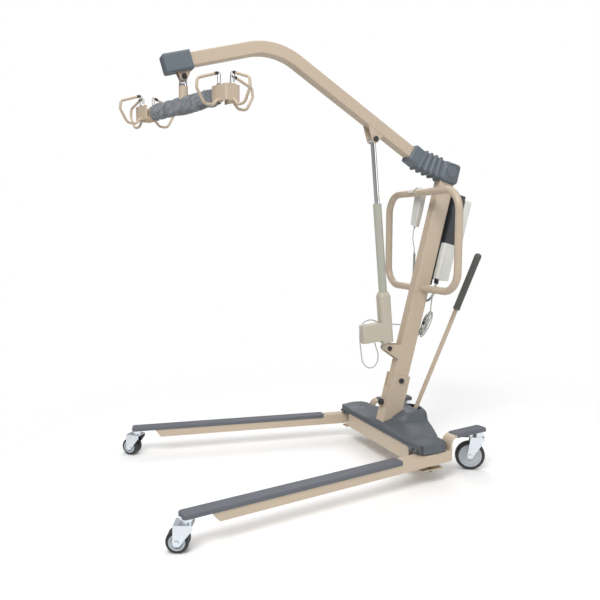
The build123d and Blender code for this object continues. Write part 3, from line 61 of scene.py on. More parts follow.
# ---- places shared with the frame, in metres ----
LEAN = math.radians(14.5)
MAST_UP = Vector((-math.sin(LEAN), 0, math.cos(LEAN)))
MAST_FORWARD = Vector((math.cos(LEAN), 0, math.sin(LEAN)))
MAST_FOOT_X = 0.0462
PIVOT = Vector((-0.2853, 0, 1.282))
BOOM_RISE = math.radians(31.5)
BOOM_START = Vector((-0.18416, 0, 1.29978))
BOOT_FRONT = 0.046  # the boot's head, ahead of the pivot
COLLAR_BACK = 0.062  # the boot's collar along the boom, from the boom's start
LEVER_FOOT = Vector((-0.088, 0, 0.0925))
LEVER_LEAN = math.radians(16.5)
LEVER_SIDE = math.radians(11.8)
LEVER_MID = Vector((-math.sin(LEVER_LEAN), 0, math.cos(LEVER_LEAN)))
LEVER_LENGTH = 0.885
GRIP_LENGTH = 0.262
GRIP_RADIUS = 0.0155
LEG_SPLAY = math.radians(9)
LEG_PIVOT_Y = 0.326
HANGER = Vector((0.907, 0, 0))
HANGER_TURN = math.radians(20.5)
BAR_Z = 1.489
HOOK_TIP_UP = 0.066  # the hooks' tips above the bar's middle
HANK_AT = Vector((-0.187, 0, 0.6))
HANK_UP = Vector((-0.42, 0, 0.9075)).normalized()
HANK_POINTS = 57
HANK_PER_TURN = 12
LEAD_END_Z = 0.926  # where the handset's straight lead turns into its curly lead

LEAD_ROUTE = (
    (-0.190, -0.1078, 1.0336), (-0.190, -0.116, 1.012), (-0.191, -0.120, 0.990), (-0.190, -0.114, 0.966),
    (-0.190, -0.105, 0.946), (-0.190, -0.102, 0.926),
)
CURL_ROUTE = (
    (-0.190, -0.107, 0.796), (-0.193, -0.103, 0.745), (-0.202, -0.090, 0.710), (-0.219, -0.068, 0.697),
    (-0.235, -0.046, 0.700), (-0.244, -0.030, 0.722), (-0.251, -0.0215, 0.750), (-0.2575, -0.020, 0.7766),
)
MAST_ROUTE = (
    (-0.2289, 0.012, 0.7843), (-0.224, 0.012, 0.763), (-0.219, 0.010, 0.735), (-0.216, 0.006, 0.707),
    (-0.215, 0.003, 0.682), (-0.2139, 0.0005, 0.6586),
)
BRIDGE_ROUTE = (
    (-0.186, -0.0194, 0.598), (-0.165, -0.027, 0.587), (-0.138, -0.035, 0.585), (-0.104, -0.038, 0.592),
    (-0.068, -0.037, 0.599), (-0.030, -0.036, 0.603),
)
MOTOR_ROUTE = (
    (0.002, -0.037, 0.606), (0.034, -0.037, 0.613), (0.060, -0.034, 0.625), (0.086, -0.024, 0.631),
    (0.116, -0.008, 0.629), (0.142, 0.009, 0.622), (0.158, 0.016, 0.598), (0.161, 0.019, 0.566),
    (0.157, 0.018, 0.530), (0.151, 0.016, 0.494), (0.146, 0.014, 0.460), (0.130, 0.013, 0.433),
    (0.104, 0.012, 0.420), (0.078, 0.011, 0.428), (0.062, 0.010, 0.455), (0.063, 0.009, 0.487),
    (0.074, 0.008, 0.514), (0.080, 0.008, 0.5355),
)


class HoistColours(bpy.types.PropertyGroup):
    """The colours of the lift's finishes."""

    paint: FloatVectorProperty(name="Frame paint", description="Powder coat of the steel frame",
                               subtype="COLOR", default=(0.545, 0.445, 0.335), min=0, max=1)
    moulding: FloatVectorProperty(name="Base cover", description="Moulded cover over the base",
                                  subtype="COLOR", default=(0.088, 0.102, 0.118), min=0, max=1)
    pad: FloatVectorProperty(name="Leg pads", description="Soft pads along the legs",
                             subtype="COLOR", default=(0.118, 0.127, 0.146), min=0, max=1)
    boot: FloatVectorProperty(name="Boot and cap", description="Rubber boot of the pivot and cap of the boom",
                              subtype="COLOR", default=(0.128, 0.153, 0.178), min=0, max=1)
    sleeve: FloatVectorProperty(name="Hanger sleeve", description="Padded sleeve on the hanger's bar",
                                subtype="COLOR", default=(0.19, 0.205, 0.225), min=0, max=1)
    housing: FloatVectorProperty(name="Actuator housing", description="Moulded housing of the actuator",
                                 subtype="COLOR", default=(0.53, 0.485, 0.395), min=0, max=1)
    case: FloatVectorProperty(name="Control case", description="Control box and handset",
                              subtype="COLOR", default=(0.70, 0.70, 0.66), min=0, max=1)


class HoistSizes(bpy.types.PropertyGroup):
    """The sizes of the soft and moulded pieces."""

    cable: FloatProperty(name="Cable", description="Diameter of the actuator's cable",
                         unit="LENGTH", default=0.005, min=0.003, max=0.008)
    lead: FloatProperty(name="Lead", description="Diameter of the handset's lead",
                        unit="LENGTH", default=0.004, min=0.003, max=0.006)
    curl: FloatProperty(name="Curl", description="Outer diameter of the curly lead",
                        unit="LENGTH", default=0.0125, min=0.010, max=0.016)
    pitch: FloatProperty(name="Curl pitch", description="Length of the curly lead taken by one turn",
                         unit="LENGTH", default=0.0052, min=0.0045, max=0.012)
    cover_wall: FloatProperty(name="Cover wall", description="Thickness of the moulded base cover",
                              unit="LENGTH", default=0.0025, min=0.001, max=0.004)
    hump: FloatProperty(name="Cover hump", description="Height of the hump behind the mast",
                        unit="LENGTH", default=0.030, min=0, max=0.034)
    pad_edge: FloatProperty(name="Pad edge", description="Rounding of the leg pads",
                            unit="LENGTH", default=0.0045, min=0.001, max=0.008)
    wrinkle: FloatProperty(name="Wrinkles", description="Depth of the sleeve's wrinkles",
                           unit="LENGTH", default=0.006, min=0, max=0.012)
    boot_grain: FloatProperty(name="Boot detail", description="Smallest step in the boot's surface",
                              unit="LENGTH", default=0.0022, min=0.0015, max=0.005)
    grip_ribs: IntProperty(name="Grip ribs", description="Ribs along the lever's grip",
                           default=30, min=5, max=60)


# ======================= shading =======================
class Socket:
    """A node's output. Sums on it add Math nodes."""

    def __init__(self, tree, out):
        self.tree, self.out = tree, out

    def math(self, operation, other, swap=False):
        node = self.tree.nodes.new("ShaderNodeMath")
        node.operation = operation
        for socket, value in zip(node.inputs, (other, self) if swap else (self, other)):
            if isinstance(value, Socket):
                self.tree.links.new(value.out, socket)
            else:
                socket.default_value = value
        return Socket(self.tree, node.outputs[0])

    def __add__(self, other):
        return self.math("ADD", other)

    def __sub__(self, other):
        return self.math("SUBTRACT", other)

    def __rsub__(self, other):
        return self.math("SUBTRACT", other, swap=True)

    def __mul__(self, other):
        return self.math("MULTIPLY", other)

    __radd__, __rmul__ = __add__, __mul__


class Wiring:
    """A node tree, and one method that makes any node but a Math node."""

    def __init__(self, tree):
        self.tree = tree

    def node(self, kind, output, settings=None, **values):
        """Makes a node. Its settings are set before its sockets' values or links, given by their names."""
        node = self.tree.nodes.new("ShaderNode" + kind)
        for key, value in (settings or {}).items():
            if key == "stops":
                while len(node.color_ramp.elements) < len(value):
                    node.color_ramp.elements.new(1.0)
                for element, (place, shade) in zip(node.color_ramp.elements, value):
                    element.position, element.color = place, (shade, shade, shade, 1)
            else:
                setattr(node, key, value)
        for key, value in values.items():
            wanted = key.replace("_", " ")
            socket = next((s for s in node.inputs if s.identifier == key and s.enabled), None)
            socket = socket or next(s for s in node.inputs if s.name == wanted and s.enabled)
            if isinstance(value, Socket):
                self.tree.links.new(value.out, socket)
            else:
                socket.default_value = value
        return Socket(self.tree, next(s for s in node.outputs if s.name == output and s.enabled))


class Finish(Wiring):
    """A material with its Principled shader."""

    made = {}

    def __init__(self, name, metallic=0.0, coat=0.0, sheen=0.0):
        self.material = bpy.data.materials.new(name)
        self.material.use_nodes = True
        super().__init__(self.material.node_tree)
        self.shader = self.tree.nodes["Principled BSDF"]
        self.set("Metallic", metallic)
        self.set("Coat Weight", coat)
        self.set("Sheen Weight", sheen)
        Finish.made[name] = self.material

    def set(self, name, value):
        if isinstance(value, Socket):
            self.tree.links.new(value.out, self.shader.inputs[name])
        else:
            self.shader.inputs[name].default_value = value

    def place(self, scale=(1, 1, 1), turn=(0, 0, 0)):
        """Object coordinates, stretched and turned."""
        coordinates = self.node("TexCoord", "Object")
        return self.node("Mapping", "Vector", Vector=coordinates, Scale=scale, Rotation=turn)

    def noise(self, scale, detail=3.0, where=None, roughness=0.5):
        where = where or self.place()
        return self.node("TexNoise", "Fac", Vector=where, Scale=scale, Detail=detail, Roughness=roughness)

    def mix(self, share, first, second):
        """A colour between two colours."""
        return self.node("Mix", "Result", {"data_type": "RGBA"}, Factor=share,
                         A=(*first, 1), B=(*second, 1))

    def bump(self, height, strength, distance):
        self.set("Normal", self.node("Bump", "Normal", Height=height, Strength=strength, Distance=distance))


def shaded(colour, factor):
    return tuple(min(1.0, c * factor) for c in colour)


def moulded(name, colour, roughness, spread=0.08, grain=700, depth=0.0004, strength=0.25, mottle=9, **shader):
    """A moulded or painted finish: faint broad mottling, a fine grain and uneven gloss."""
    f = Finish(name, **shader)
    broad, fine = f.noise(mottle, 4), f.noise(grain, 2)
    f.set("Base Color", f.mix(broad * 1.3 - 0.15, shaded(colour, 1 - spread), shaded(colour, 1 + spread)))
    f.set("Roughness", roughness + (fine - 0.5) * 0.1 + (broad - 0.5) * 0.12)
    f.bump(fine + broad * 0.6, strength, depth)
    return f


def metal(name, colour, roughness, streak=(1, 1, 1), scale=220, spread=0.06, depth=0.0002, **shader):
    """A metal with fine streaks along one axis and smudged gloss."""
    f = Finish(name, metallic=1.0, **shader)
    lines, smudge = f.noise(scale, 3, f.place(streak)), f.noise(24, 3)
    f.set("Base Color", f.mix(smudge, shaded(colour, 1 - spread), shaded(colour, 1 + spread)))
    f.set("Roughness", roughness + (lines - 0.5) * 0.14 + (smudge - 0.5) * 0.08)
    f.bump(lines, 0.15, depth)
    return f


def make_finishes(c):
    paint = moulded("tan_paint", tuple(c.paint), 0.42, spread=0.035, grain=1100, depth=0.00012, mottle=5,
                    coat=0.15)
    paint.set("Coat Roughness", 0.35)
    moulded("grey_moulding", tuple(c.moulding), 0.46, spread=0.07, grain=900, depth=0.0003)
    moulded("pad_rubber", tuple(c.pad), 0.62, spread=0.10, grain=520, depth=0.0005)
    moulded("boot_rubber", tuple(c.boot), 0.5, spread=0.08, grain=800, depth=0.0003)
    metal("zinc", (0.74, 0.79, 0.84), 0.26, scale=90)
    metal("chrome", (0.86, 0.86, 0.87), 0.09, spread=0.03, scale=160)
    metal("steel", (0.56, 0.56, 0.57), 0.32, streak=(1, 1, 12))
    moulded("black_steel", (0.022, 0.021, 0.022), 0.38, spread=0.2, grain=600)
    moulded("wheel_hub", (0.46, 0.50, 0.54), 0.4, spread=0.05, grain=500)
    moulded("tyre", (0.028, 0.028, 0.031), 0.55, spread=0.25, grain=420, depth=0.0005)
    moulded("black_plastic", (0.022, 0.023, 0.026), 0.36, spread=0.15)
    moulded("light_plastic", tuple(c.case), 0.42, spread=0.03)
    moulded("cream_plastic", tuple(c.housing), 0.45, spread=0.04)
    moulded("battery_plastic", (0.030, 0.035, 0.042), 0.4, spread=0.1)
    moulded("tube_paint", (0.44, 0.44, 0.375), 0.35, spread=0.04, coat=0.2)
    moulded("red_plastic", (0.55, 0.02, 0.018), 0.25, spread=0.06, coat=0.4)
    moulded("button_grey", (0.16, 0.18, 0.2), 0.55)
    moulded("pale_cable", (0.42, 0.43, 0.40), 0.4, spread=0.08, grain=1500)
    moulded("curl_cable", (0.36, 0.41, 0.38), 0.42, spread=0.08, grain=1500)
    moulded("grip_rubber", (0.105, 0.105, 0.10), 0.66, spread=0.12, grain=700, depth=0.0005)
    floor = Finish("stage_floor")
    floor.set("Roughness", 0.7)
    spot = floor.node("TexCoord", "Object")
    reach = floor.node("VectorMath", "Value", {"operation": "LENGTH"}, Vector=spot)
    floor.set("Base Color", floor.mix(floor.noise(3), (0.95, 0.95, 0.95), (0.97, 0.97, 0.97)))
    # the floor fades out away from the lift
    floor.set("Alpha", floor.node("MapRange", "Result", {"interpolation_type": "SMOOTHSTEP"}, Value=reach,
                                  From_Min=1.1, From_Max=2.1, To_Min=1.0, To_Max=0.0))
    cloth(tuple(c.sleeve))


def cloth(colour):
    """Woven cover cloth: threads both ways, slubs, and paler worn high spots."""
    f = Finish("sleeve_fabric", sheen=0.3)
    f.set("Sheen Roughness", 0.5)
    uv = f.node("TexCoord", "UV")
    threads = []
    for direction in ("X", "Y"):
        threads.append(f.node("TexWave", "Fac", {"wave_type": "BANDS", "bands_direction": direction},
                              Vector=uv, Scale=42.0, Distortion=0.6, Detail=2.0))
    broad, slub = f.noise(26, 5, roughness=0.62), f.noise(130, 3)
    wear = (broad - 0.36) * 2.4 + (slub - 0.5) * 0.5
    f.set("Base Color", f.mix(wear, shaded(colour, 0.55), shaded(colour, 1.7)))
    f.set("Roughness", 0.78 + (slub - 0.5) * 0.2)
    f.bump(threads[0] * 0.5 + threads[1] * 0.5 + slub * 1.2 + broad * 2.0, 0.5, 0.0012)


# ======================= modelling helpers =======================
def deselect():
    if bpy.context.object and bpy.context.object.mode != "OBJECT":
        bpy.ops.object.mode_set(mode="OBJECT")
    bpy.ops.object.select_all(action="DESELECT")


def activate(piece):
    deselect()
    piece.select_set(True)
    bpy.context.view_layer.objects.active = piece


def add_modifier(piece, kind, **values):
    """Adds a modifier and applies it."""
    activate(piece)
    modifier = piece.modifiers.new(kind.lower(), kind)
    for key, value in values.items():
        setattr(modifier, key, value)
    bpy.ops.object.modifier_apply(modifier=modifier.name)


def settle(piece, place=None):
    """Puts the piece's place, and the matrix given, into its mesh."""
    if place is not None:
        piece.matrix_world = place @ piece.matrix_world
    activate(piece)
    bpy.ops.object.transform_apply(location=True, rotation=True, scale=True)


def dress(piece, name, finish, body=None, angle=40):
    """Names a finished piece, smooths it, and gives it its finish and its body."""
    piece.name = piece.data.name = name
    piece.data.materials.clear()
    piece.data.materials.append(Finish.made[finish])
    activate(piece)
    bpy.ops.object.shade_smooth_by_angle(angle=math.radians(angle))
    if body:
        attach(piece, body)
    deselect()
    return piece


def rounded_block(size, middle, edge, segments=4, place=None):
    """A block with rounded edges."""
    deselect()
    bpy.ops.mesh.primitive_cube_add(size=1, location=middle, scale=size)
    block = bpy.context.object
    settle(block)
    add_modifier(block, "BEVEL", width=edge, segments=segments, limit_method="NONE")
    if place is not None:
        settle(block, place)
    return block


def join(pieces):
    activate(pieces[0])
    for piece in pieces[1:]:
        piece.select_set(True)
    if len(pieces) > 1:
        bpy.ops.object.join()
    return bpy.context.view_layer.objects.active


def turned(profile, steps=40):
    """A closed shape of revolution about Z, from (radius, height) points that start and end on the axis."""
    deselect()
    bpy.ops.mesh.primitive_circle_add(vertices=3, radius=0.01)
    piece = bpy.context.object
    work = bmesh.new()
    corners = [work.verts.new((r, 0, z)) for r, z in profile]
    for a, b in zip(corners, corners[1:]):
        work.edges.new((a, b))
    work.to_mesh(piece.data)
    work.free()
    add_modifier(piece, "SCREW", angle=math.tau, steps=steps, render_steps=steps, use_merge_vertices=True,
                 merge_threshold=1e-5, use_smooth_shade=True)
    fix_normals(piece)
    return piece


def fix_normals(piece):
    activate(piece)
    bpy.ops.object.mode_set(mode="EDIT")
    bpy.ops.mesh.select_all(action="SELECT")
    bpy.ops.mesh.remove_doubles(threshold=1e-6)
    bpy.ops.mesh.normals_make_consistent(inside=False)
    bpy.ops.object.mode_set(mode="OBJECT")


def basis(origin, x, y, z):
    """A matrix whose columns are three directions and a place."""
    rows = [(x[i], y[i], z[i], origin[i]) for i in range(3)]
    return Matrix((*rows, (0, 0, 0, 1)))


def along(origin, z, hint=(0, 1, 0)):
    """A matrix whose Z runs along a direction."""
    z = Vector(z).normalized()
    x = Vector(hint).cross(z).normalized()
    return basis(origin, x, z.cross(x), z)


def mast_place(forward, up, from_z=0.0):
    """A point by the mast: ahead of its centreline and up it, from the height given."""
    start = Vector((MAST_FOOT_X - from_z * math.tan(LEAN), 0, from_z))
    return start + MAST_FORWARD * forward + MAST_UP * up


def leg_frame(side):
    turn = LEG_SPLAY * side
    x, y = Vector((math.cos(turn), math.sin(turn), 0)), Vector((-math.sin(turn), math.cos(turn), 0))
    return basis((0, side * LEG_PIVOT_Y, 0), x, y, (0, 0, 1))


def hanger_frame(z=BAR_Z):
    x = Vector((math.cos(HANGER_TURN), math.sin(HANGER_TURN), 0))
    y = Vector((-math.sin(HANGER_TURN), math.cos(HANGER_TURN), 0))
    return basis(HANGER + Vector((0, 0, z)), x, y, (0, 0, 1))


# ======================= cords =======================
def smooth_route(points):
    """Points read along the NURBS spline of a cord's route."""
    curve = bpy.data.curves.new("route", "CURVE")
    curve.dimensions, curve.resolution_u = "3D", 10
    spline = curve.splines.new("NURBS")
    spline.points.add(len(points) - 1)
    for target, source in zip(spline.points, points):
        target.co = (*source, 1)
    spline.order_u = 3
    spline.use_endpoint_u = True
    holder = bpy.data.objects.new("route", curve)
    bpy.context.collection.objects.link(holder)
    mesh = bpy.data.meshes.new_from_object(holder)
    line = [v.co.copy() for v in mesh.vertices]
    bpy.data.objects.remove(holder)
    bpy.data.curves.remove(curve)
    bpy.data.meshes.remove(mesh)
    return line


def tube(line, diameter, sides=2):
    """A mesh tube along a line of points."""
    curve = bpy.data.curves.new("cord", "CURVE")
    curve.dimensions, curve.bevel_depth, curve.bevel_resolution = "3D", diameter / 2, sides
    curve.use_fill_caps = True
    spline = curve.splines.new("POLY")
    spline.points.add(len(line) - 1)
    for target, source in zip(spline.points, line):
        target.co = (*source, 1)
    piece = bpy.data.objects.new("cord", curve)
    bpy.context.collection.objects.link(piece)
    activate(piece)
    bpy.ops.object.convert(target="MESH")
    return bpy.context.object


def length_of(line):
    return sum((b - a).length for a, b in zip(line, line[1:]))


def wound(line, start, end, radius, pitch, per_turn=14, ease=0.012):
    """A line that winds as a helix between two lengths along it, and runs straight before and after."""
    path, done, angle, side = [], 0.0, 0.0, Vector((0, 1, 0))
    step, straight_step = pitch / per_turn, 0.006
    lengths = [0.0]
    for a, b in zip(line, line[1:]):
        lengths.append(lengths[-1] + (b - a).length)
    total, i = lengths[-1], 0
    while done < total:
        while i < len(line) - 2 and lengths[i + 1] < done:
            i += 1
        span = lengths[i + 1] - lengths[i]
        point = line[i].lerp(line[i + 1], (done - lengths[i]) / span if span else 0)
        ahead = (line[i + 1] - line[i]).normalized()
        side = (side - ahead * side.dot(ahead)).normalized()
        if start < done < end:
            grown = max(0.0, min(1.0, (done - start) / ease, (end - done) / ease))
            grown = grown * grown * (3 - 2 * grown)
            angle += math.tau / per_turn
            other = ahead.cross(side)
            path.append(point + (side * math.cos(angle) + other * math.sin(angle)) * radius * grown)
            done += step
        else:
            path.append(point)
            if done + straight_step < start or done >= end:
                done += straight_step
            else:
                done += max(step, min(straight_step, start - done + 1e-6))
    path.append(line[-1].copy())
    return path


class HOIST_OT_handset_cord(bpy.types.Operator):
    """Handset lead: straight out of the handset, then a curly lead down and up to the control box's plug"""

    bl_idname = "hoist.handset_cord"
    bl_label = "Handset cord"

    def execute(self, context):
        sizes = context.scene.hoist_sizes
        line = smooth_route(LEAD_ROUTE + CURL_ROUTE)
        straight = length_of([p for p in line if p.z > LEAD_END_Z and p.y < -0.09])
        path = wound(line, straight, length_of(line) - 0.004, (sizes.curl - sizes.lead) / 2, sizes.pitch)
        cord = dress(tube(path, sizes.lead), "handset_cord", "curl_cable", "mast", 60)
        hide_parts("handset_lead", "handset_curl")
        length_of(path)
        return {"FINISHED"}


class HOIST_OT_actuator_cord(bpy.types.Operator):
    """Actuator cable: down behind the mast, a tied hank, past the mast and over the motor to its plug"""

    bl_idname = "hoist.actuator_cord"
    bl_label = "Actuator cord"

    def execute(self, context):
        sizes = context.scene.hoist_sizes
        depth, across = HANK_UP.cross(Vector((0, 1, 0))), Vector((0, 1, 0))
        loops = []
        for i in range(HANK_POINTS):
            turn = i / HANK_PER_TURN
            share = turn / (HANK_POINTS / HANK_PER_TURN)
            reach = 0.053 + 0.010 * math.sin(turn * 1.7 + 0.4)
            width = 0.0155 + 0.0055 * math.sin(turn * 2.6 + 1.0)
            fan = 0.16 * math.sin(turn * 1.9)
            angle = math.tau * turn
            up, side = reach * math.cos(angle), width * math.sin(angle)
            # the loops fan out above and below the tie
            side += up * fan
            deep = 0.0115 - 0.023 * share + 0.12 * abs(up) * fan
            loops.append(HANK_AT + HANK_UP * up + across * side + depth * deep)
        ahead = [Vector(p) for p in BRIDGE_ROUTE[1:] + MOTOR_ROUTE]
        route = [Vector(p) for p in MAST_ROUTE] + loops[1:] + ahead
        line = smooth_route(route)
        cord = dress(tube(line, sizes.cable, 3), "actuator_cord", "pale_cable", None, 60)
        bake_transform(cord)
        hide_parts("actuator_lead", "cable_hank", "motor_lead")
        length_of(line)
        # the tie round the hank's middle
        band = turned([(0, -0.006), (0.0135, -0.006), (0.0148, -0.003),
                       (0.0148, 0.003), (0.0135, 0.006), (0, 0.006)])
        band.scale = (0.85, 1.12, 1)
        settle(band)
        settle(band, basis(HANK_AT, depth, across, HANK_UP))
        fix_normals(band)
        dress(band, "hank_tie", "black_plastic", "mast")
        return {"FINISHED"}


# ======================= stage =======================
def soft_light(name, place, target, size, power):
    light = bpy.data.lights.new(name, "AREA")
    light.shape, light.size, light.energy = "DISK", size, power
    holder = bpy.data.objects.new(name, light)
    bpy.context.collection.objects.link(holder)
    holder.location = place
    holder.rotation_euler = (Vector(target) - Vector(place)).to_track_quat("-Z", "Y").to_euler()


def studio_world(scene):
    """White behind the lift; what it is lit by and mirrors is bright above and dim near the horizon."""
    world = bpy.data.worlds.new("studio")
    world.use_nodes = True
    tree = world.node_tree
    wiring = Wiring(tree)
    height = wiring.node("SeparateXYZ", "Z", Vector=wiring.node("TexCoord", "Generated"))
    stops = ((0.0, 0.5), (0.44, 0.34), (0.56, 0.12), (0.7, 0.34), (1.0, 0.8))
    glow = wiring.node("ValToRGB", "Color", {"stops": stops}, Fac=height * 0.5 + 0.5)
    seen = wiring.node("Background", "Background", Color=(1, 1, 1, 1), Strength=1.0)
    lit = wiring.node("Background", "Background", Color=glow, Strength=1.25)
    direct = wiring.node("LightPath", "Is Camera Ray")
    both = wiring.node("MixShader", "Shader", Fac=direct, Shader=lit, Shader_001=seen)
    tree.links.new(both.out, tree.nodes["World Output"].inputs["Surface"])
    scene.world = world


class HOIST_OT_stage(bpy.types.Operator):
    """Camera, pale floor, soft lights and the finishes that every piece takes"""

    bl_idname = "hoist.stage"
    bl_label = "Stage and finishes"

    def execute(self, context):
        scene = context.scene
        make_finishes(scene.hoist_colours)
        camera = bpy.data.cameras.new("camera")
        camera.lens, camera.sensor_width = 38.35, 36
        camera.clip_end = 60
        holder = bpy.data.objects.new("camera", camera)
        bpy.context.collection.objects.link(holder)
        holder.location = (1.4735, 2.4282, 1.0124)
        holder.rotation_euler = Vector((-0.39166, -0.91416, -0.10447)).to_track_quat("-Z", "Y").to_euler()
        scene.camera = holder
        scene.view_settings.view_transform = "Standard"
        deselect()
        bpy.ops.mesh.primitive_grid_add(x_subdivisions=8, y_subdivisions=8, size=40)
        floor = bpy.context.object
        floor.name = "floor"
        floor.data.materials.append(Finish.made["stage_floor"])
        studio_world(scene)
        soft_light("key", (2.3, 2.5, 3.9), (0.1, 0, 0.9), 2.0, 122)
        soft_light("fill", (-2.6, 3.0, 1.6), (0, 0, 0.7), 2.6, 26)
        soft_light("back", (-1.2, -3.2, 3.4), (0.2, 0, 0.9), 2.4, 40)
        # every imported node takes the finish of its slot
        slots = {row["node"]: row["material_slot"] for row in frame["record"]["subparts"]}
        for name, node in frame["nodes"].items():
            node.data.materials.clear()
            node.data.materials.append(Finish.made[slots[name]])
        return {"FINISHED"}


# ======================= base =======================
def smoothstep(low, high, value):
    """0 at low and 1 at high, which may be the smaller."""
    share = max(0.0, min(1.0, (value - low) / (high - low)))
    return share * share * (3 - 2 * share)


COVER_HALF = 0.352
COVER_FRONT = 0.065
COVER_TOP = 0.1635
COVER_EDGE = 0.013
COVER_LOW = 0.1295
COVER_LOW_FRONT = 0.1485  # over the beam's front wall


def end_round(y, start=0.300):
    """How far the cover's outline has turned in, from 0 to 1, towards its end."""
    share = max(0.0, min(1.0, (abs(y) - start) / (COVER_HALF - start)))
    return 1 - math.sqrt(1 - share * share)


def cover_rear(y):
    return -0.082 - 0.086 * (1 - min(abs(y) / 0.268, 1.0) ** 1.7) + 0.034 * end_round(y)


def cover_front(y):
    return COVER_FRONT - 0.010 * end_round(y, 0.33)


def cover_height(x, y, hump):
    """The cover's top surface: a crown round the mast, a hood behind it and a dimple on each lobe."""
    rear = cover_rear(y)
    share = (COVER_FRONT - x) / (COVER_FRONT - rear)
    bell = 0.5 + 0.5 * math.cos(math.pi * min(abs(y) / 0.25, 1.0))
    z = COVER_TOP + (0.0035 + 0.020 * bell) * math.sin(math.pi * min(1.0, share * 1.05) * 0.72)
    z += 0.013 * math.exp(-(y / 0.085) ** 2) * (1 - smoothstep(0.035, 0.064, x))
    z += 0.006 * smoothstep(0.245, 0.285, abs(y)) * math.sin(math.pi * min(1.0, share))
    across, depth = abs(y) / 0.092, abs(x + 0.095) / 0.10
    ring = (across ** 3 + depth ** 3) ** (1 / 3)
    z += hump * (1 - smoothstep(0.84, 1.03, ring)) * (0.25 + 0.75 * smoothstep(0.01, -0.08, x))
    dimple = math.hypot((x + 0.018) / 0.034, (abs(y) - 0.250) / 0.026)
    crescent = 1 - smoothstep(-0.01, 0.02, x + 0.3 * (abs(y) - 0.25))
    z -= 0.005 * math.exp(-((dimple - 0.95) / 0.22) ** 2) * crescent
    return z


class HOIST_OT_base_cover(bpy.types.Operator):
    """Moulded cover over the base beam, with its hump, lobes, lever slot and the mast's opening"""

    bl_idname = "hoist.base_cover"
    bl_label = "Base cover"

    def execute(self, context):
        sizes = context.scene.hoist_sizes
        deselect()
        bpy.ops.mesh.primitive_grid_add(x_subdivisions=44, y_subdivisions=128, size=2)
        cover = bpy.context.object
        edge = COVER_EDGE
        for v in cover.data.vertices:
            u, w = v.co.x, v.co.y
            y = COVER_HALF * (math.copysign(1 - (1 - abs(w)) ** 1.15, w))
            rear, front = cover_rear(y), cover_front(y)
            x = (front + rear) / 2 + (front - rear) / 2 * math.copysign(1 - (1 - abs(u)) ** 1.35, u)
            # rounded corners in plan
            corner_x, corner_y = abs(u) ** 8, abs(w) ** 26
            pull = 0.010 * corner_x * corner_y
            x -= math.copysign(pull, u)
            y -= math.copysign(pull, w)
            gap = max(0.0, min(edge, front - x, x - rear, COVER_HALF - abs(y)))
            drop = edge - math.sqrt(max(0.0, edge * edge - (edge - gap) ** 2))
            v.co = (x, y, cover_height(x, y, sizes.hump) - drop * 0.85)
        activate(cover)
        bpy.ops.object.mode_set(mode="EDIT")
        bpy.ops.mesh.select_all(action="SELECT")
        bpy.ops.mesh.region_to_loop()
        for _ in range(3):
            bpy.ops.mesh.extrude_region_move(TRANSFORM_OT_translate={"value": (0, 0, -0.006)})
        bpy.ops.object.mode_set(mode="OBJECT")
        for v in cover.data.vertices:
            if v.select:
                in_front = v.co.x > COVER_FRONT - 0.012 and abs(v.co.y) < 0.267
                v.co.z = COVER_LOW_FRONT if in_front else COVER_LOW
        fix_normals(cover)
        add_modifier(cover, "SUBSURF", levels=1, render_levels=1)
        add_modifier(cover, "SOLIDIFY", thickness=sizes.cover_wall, offset=-1)
        mast, lever = along(mast_place(-0.001, 0), MAST_UP), along(LEVER_FOOT, LEVER_MID)
        cutters = [
            rounded_block((0.090, 0.0650, 0.30), (0, 0, 0.20), 0.004, place=mast),
            rounded_block((0.034, 0.100, 0.16), (0, 0, 0.13), 0.008, place=lever),
        ]
        for cutter in cutters:
            add_modifier(cover, "BOOLEAN", operation="DIFFERENCE", solver="EXACT", object=cutter)
            bpy.data.objects.remove(cutter)
        dress(cover, "moulded_cover", "grey_moulding", "base", 34)
        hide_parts("base_cover")
        return {"FINISHED"}


class HOIST_OT_leg_pads(bpy.types.Operator):
    """Soft pads that lap over the legs' and rear arms' top edges"""

    bl_idname = "hoist.leg_pads"
    bl_label = "Leg pads"

    def execute(self, context):
        edge = context.scene.hoist_sizes.pad_edge
        for name, side in (("left", 1), ("right", -1)):
            bars = []
            for start, end, top in ((0.161, 1.070, 0.125), (-0.302, -0.123, 0.183)):
                deselect()
                bpy.ops.mesh.primitive_cube_add(size=1, location=((start + end) / 2, 0, top - 0.003),
                                                scale=(end - start, 0.056, 0.016))
                bar = bpy.context.object
                settle(bar)
                bpy.ops.object.mode_set(mode="EDIT")
                bpy.ops.mesh.select_all(action="DESELECT")
                bpy.ops.object.mode_set(mode="OBJECT")
                for face in bar.data.polygons:
                    face.select = face.normal.z < -0.9
                bpy.ops.object.mode_set(mode="EDIT")
                bpy.ops.mesh.select_mode(type="FACE")
                bpy.ops.mesh.delete(type="FACE")
                bpy.ops.object.mode_set(mode="OBJECT")
                for spine in bar.data.edges:
                    ends = [bar.data.vertices[i].co for i in spine.vertices]
                    spine.select = abs(ends[0].z - ends[1].z) > 0.01
                bpy.ops.object.mode_set(mode="EDIT")
                bpy.ops.mesh.select_mode(type="EDGE")
                bpy.ops.mesh.bevel(offset=0.012, segments=5)
                bpy.ops.object.mode_set(mode="OBJECT")
                add_modifier(bar, "BEVEL", width=edge, segments=4, limit_method="ANGLE", angle_limit=0.6)
                add_modifier(bar, "SOLIDIFY", thickness=0.0026, offset=-1)
                bars.append(bar)
            pads = join(bars)
            settle(pads, leg_frame(side))
            dress(pads, f"soft_pads_{name}", "pad_rubber", f"leg_{name}_body")
            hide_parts(f"leg_pads_{name}")
        return {"FINISHED"}


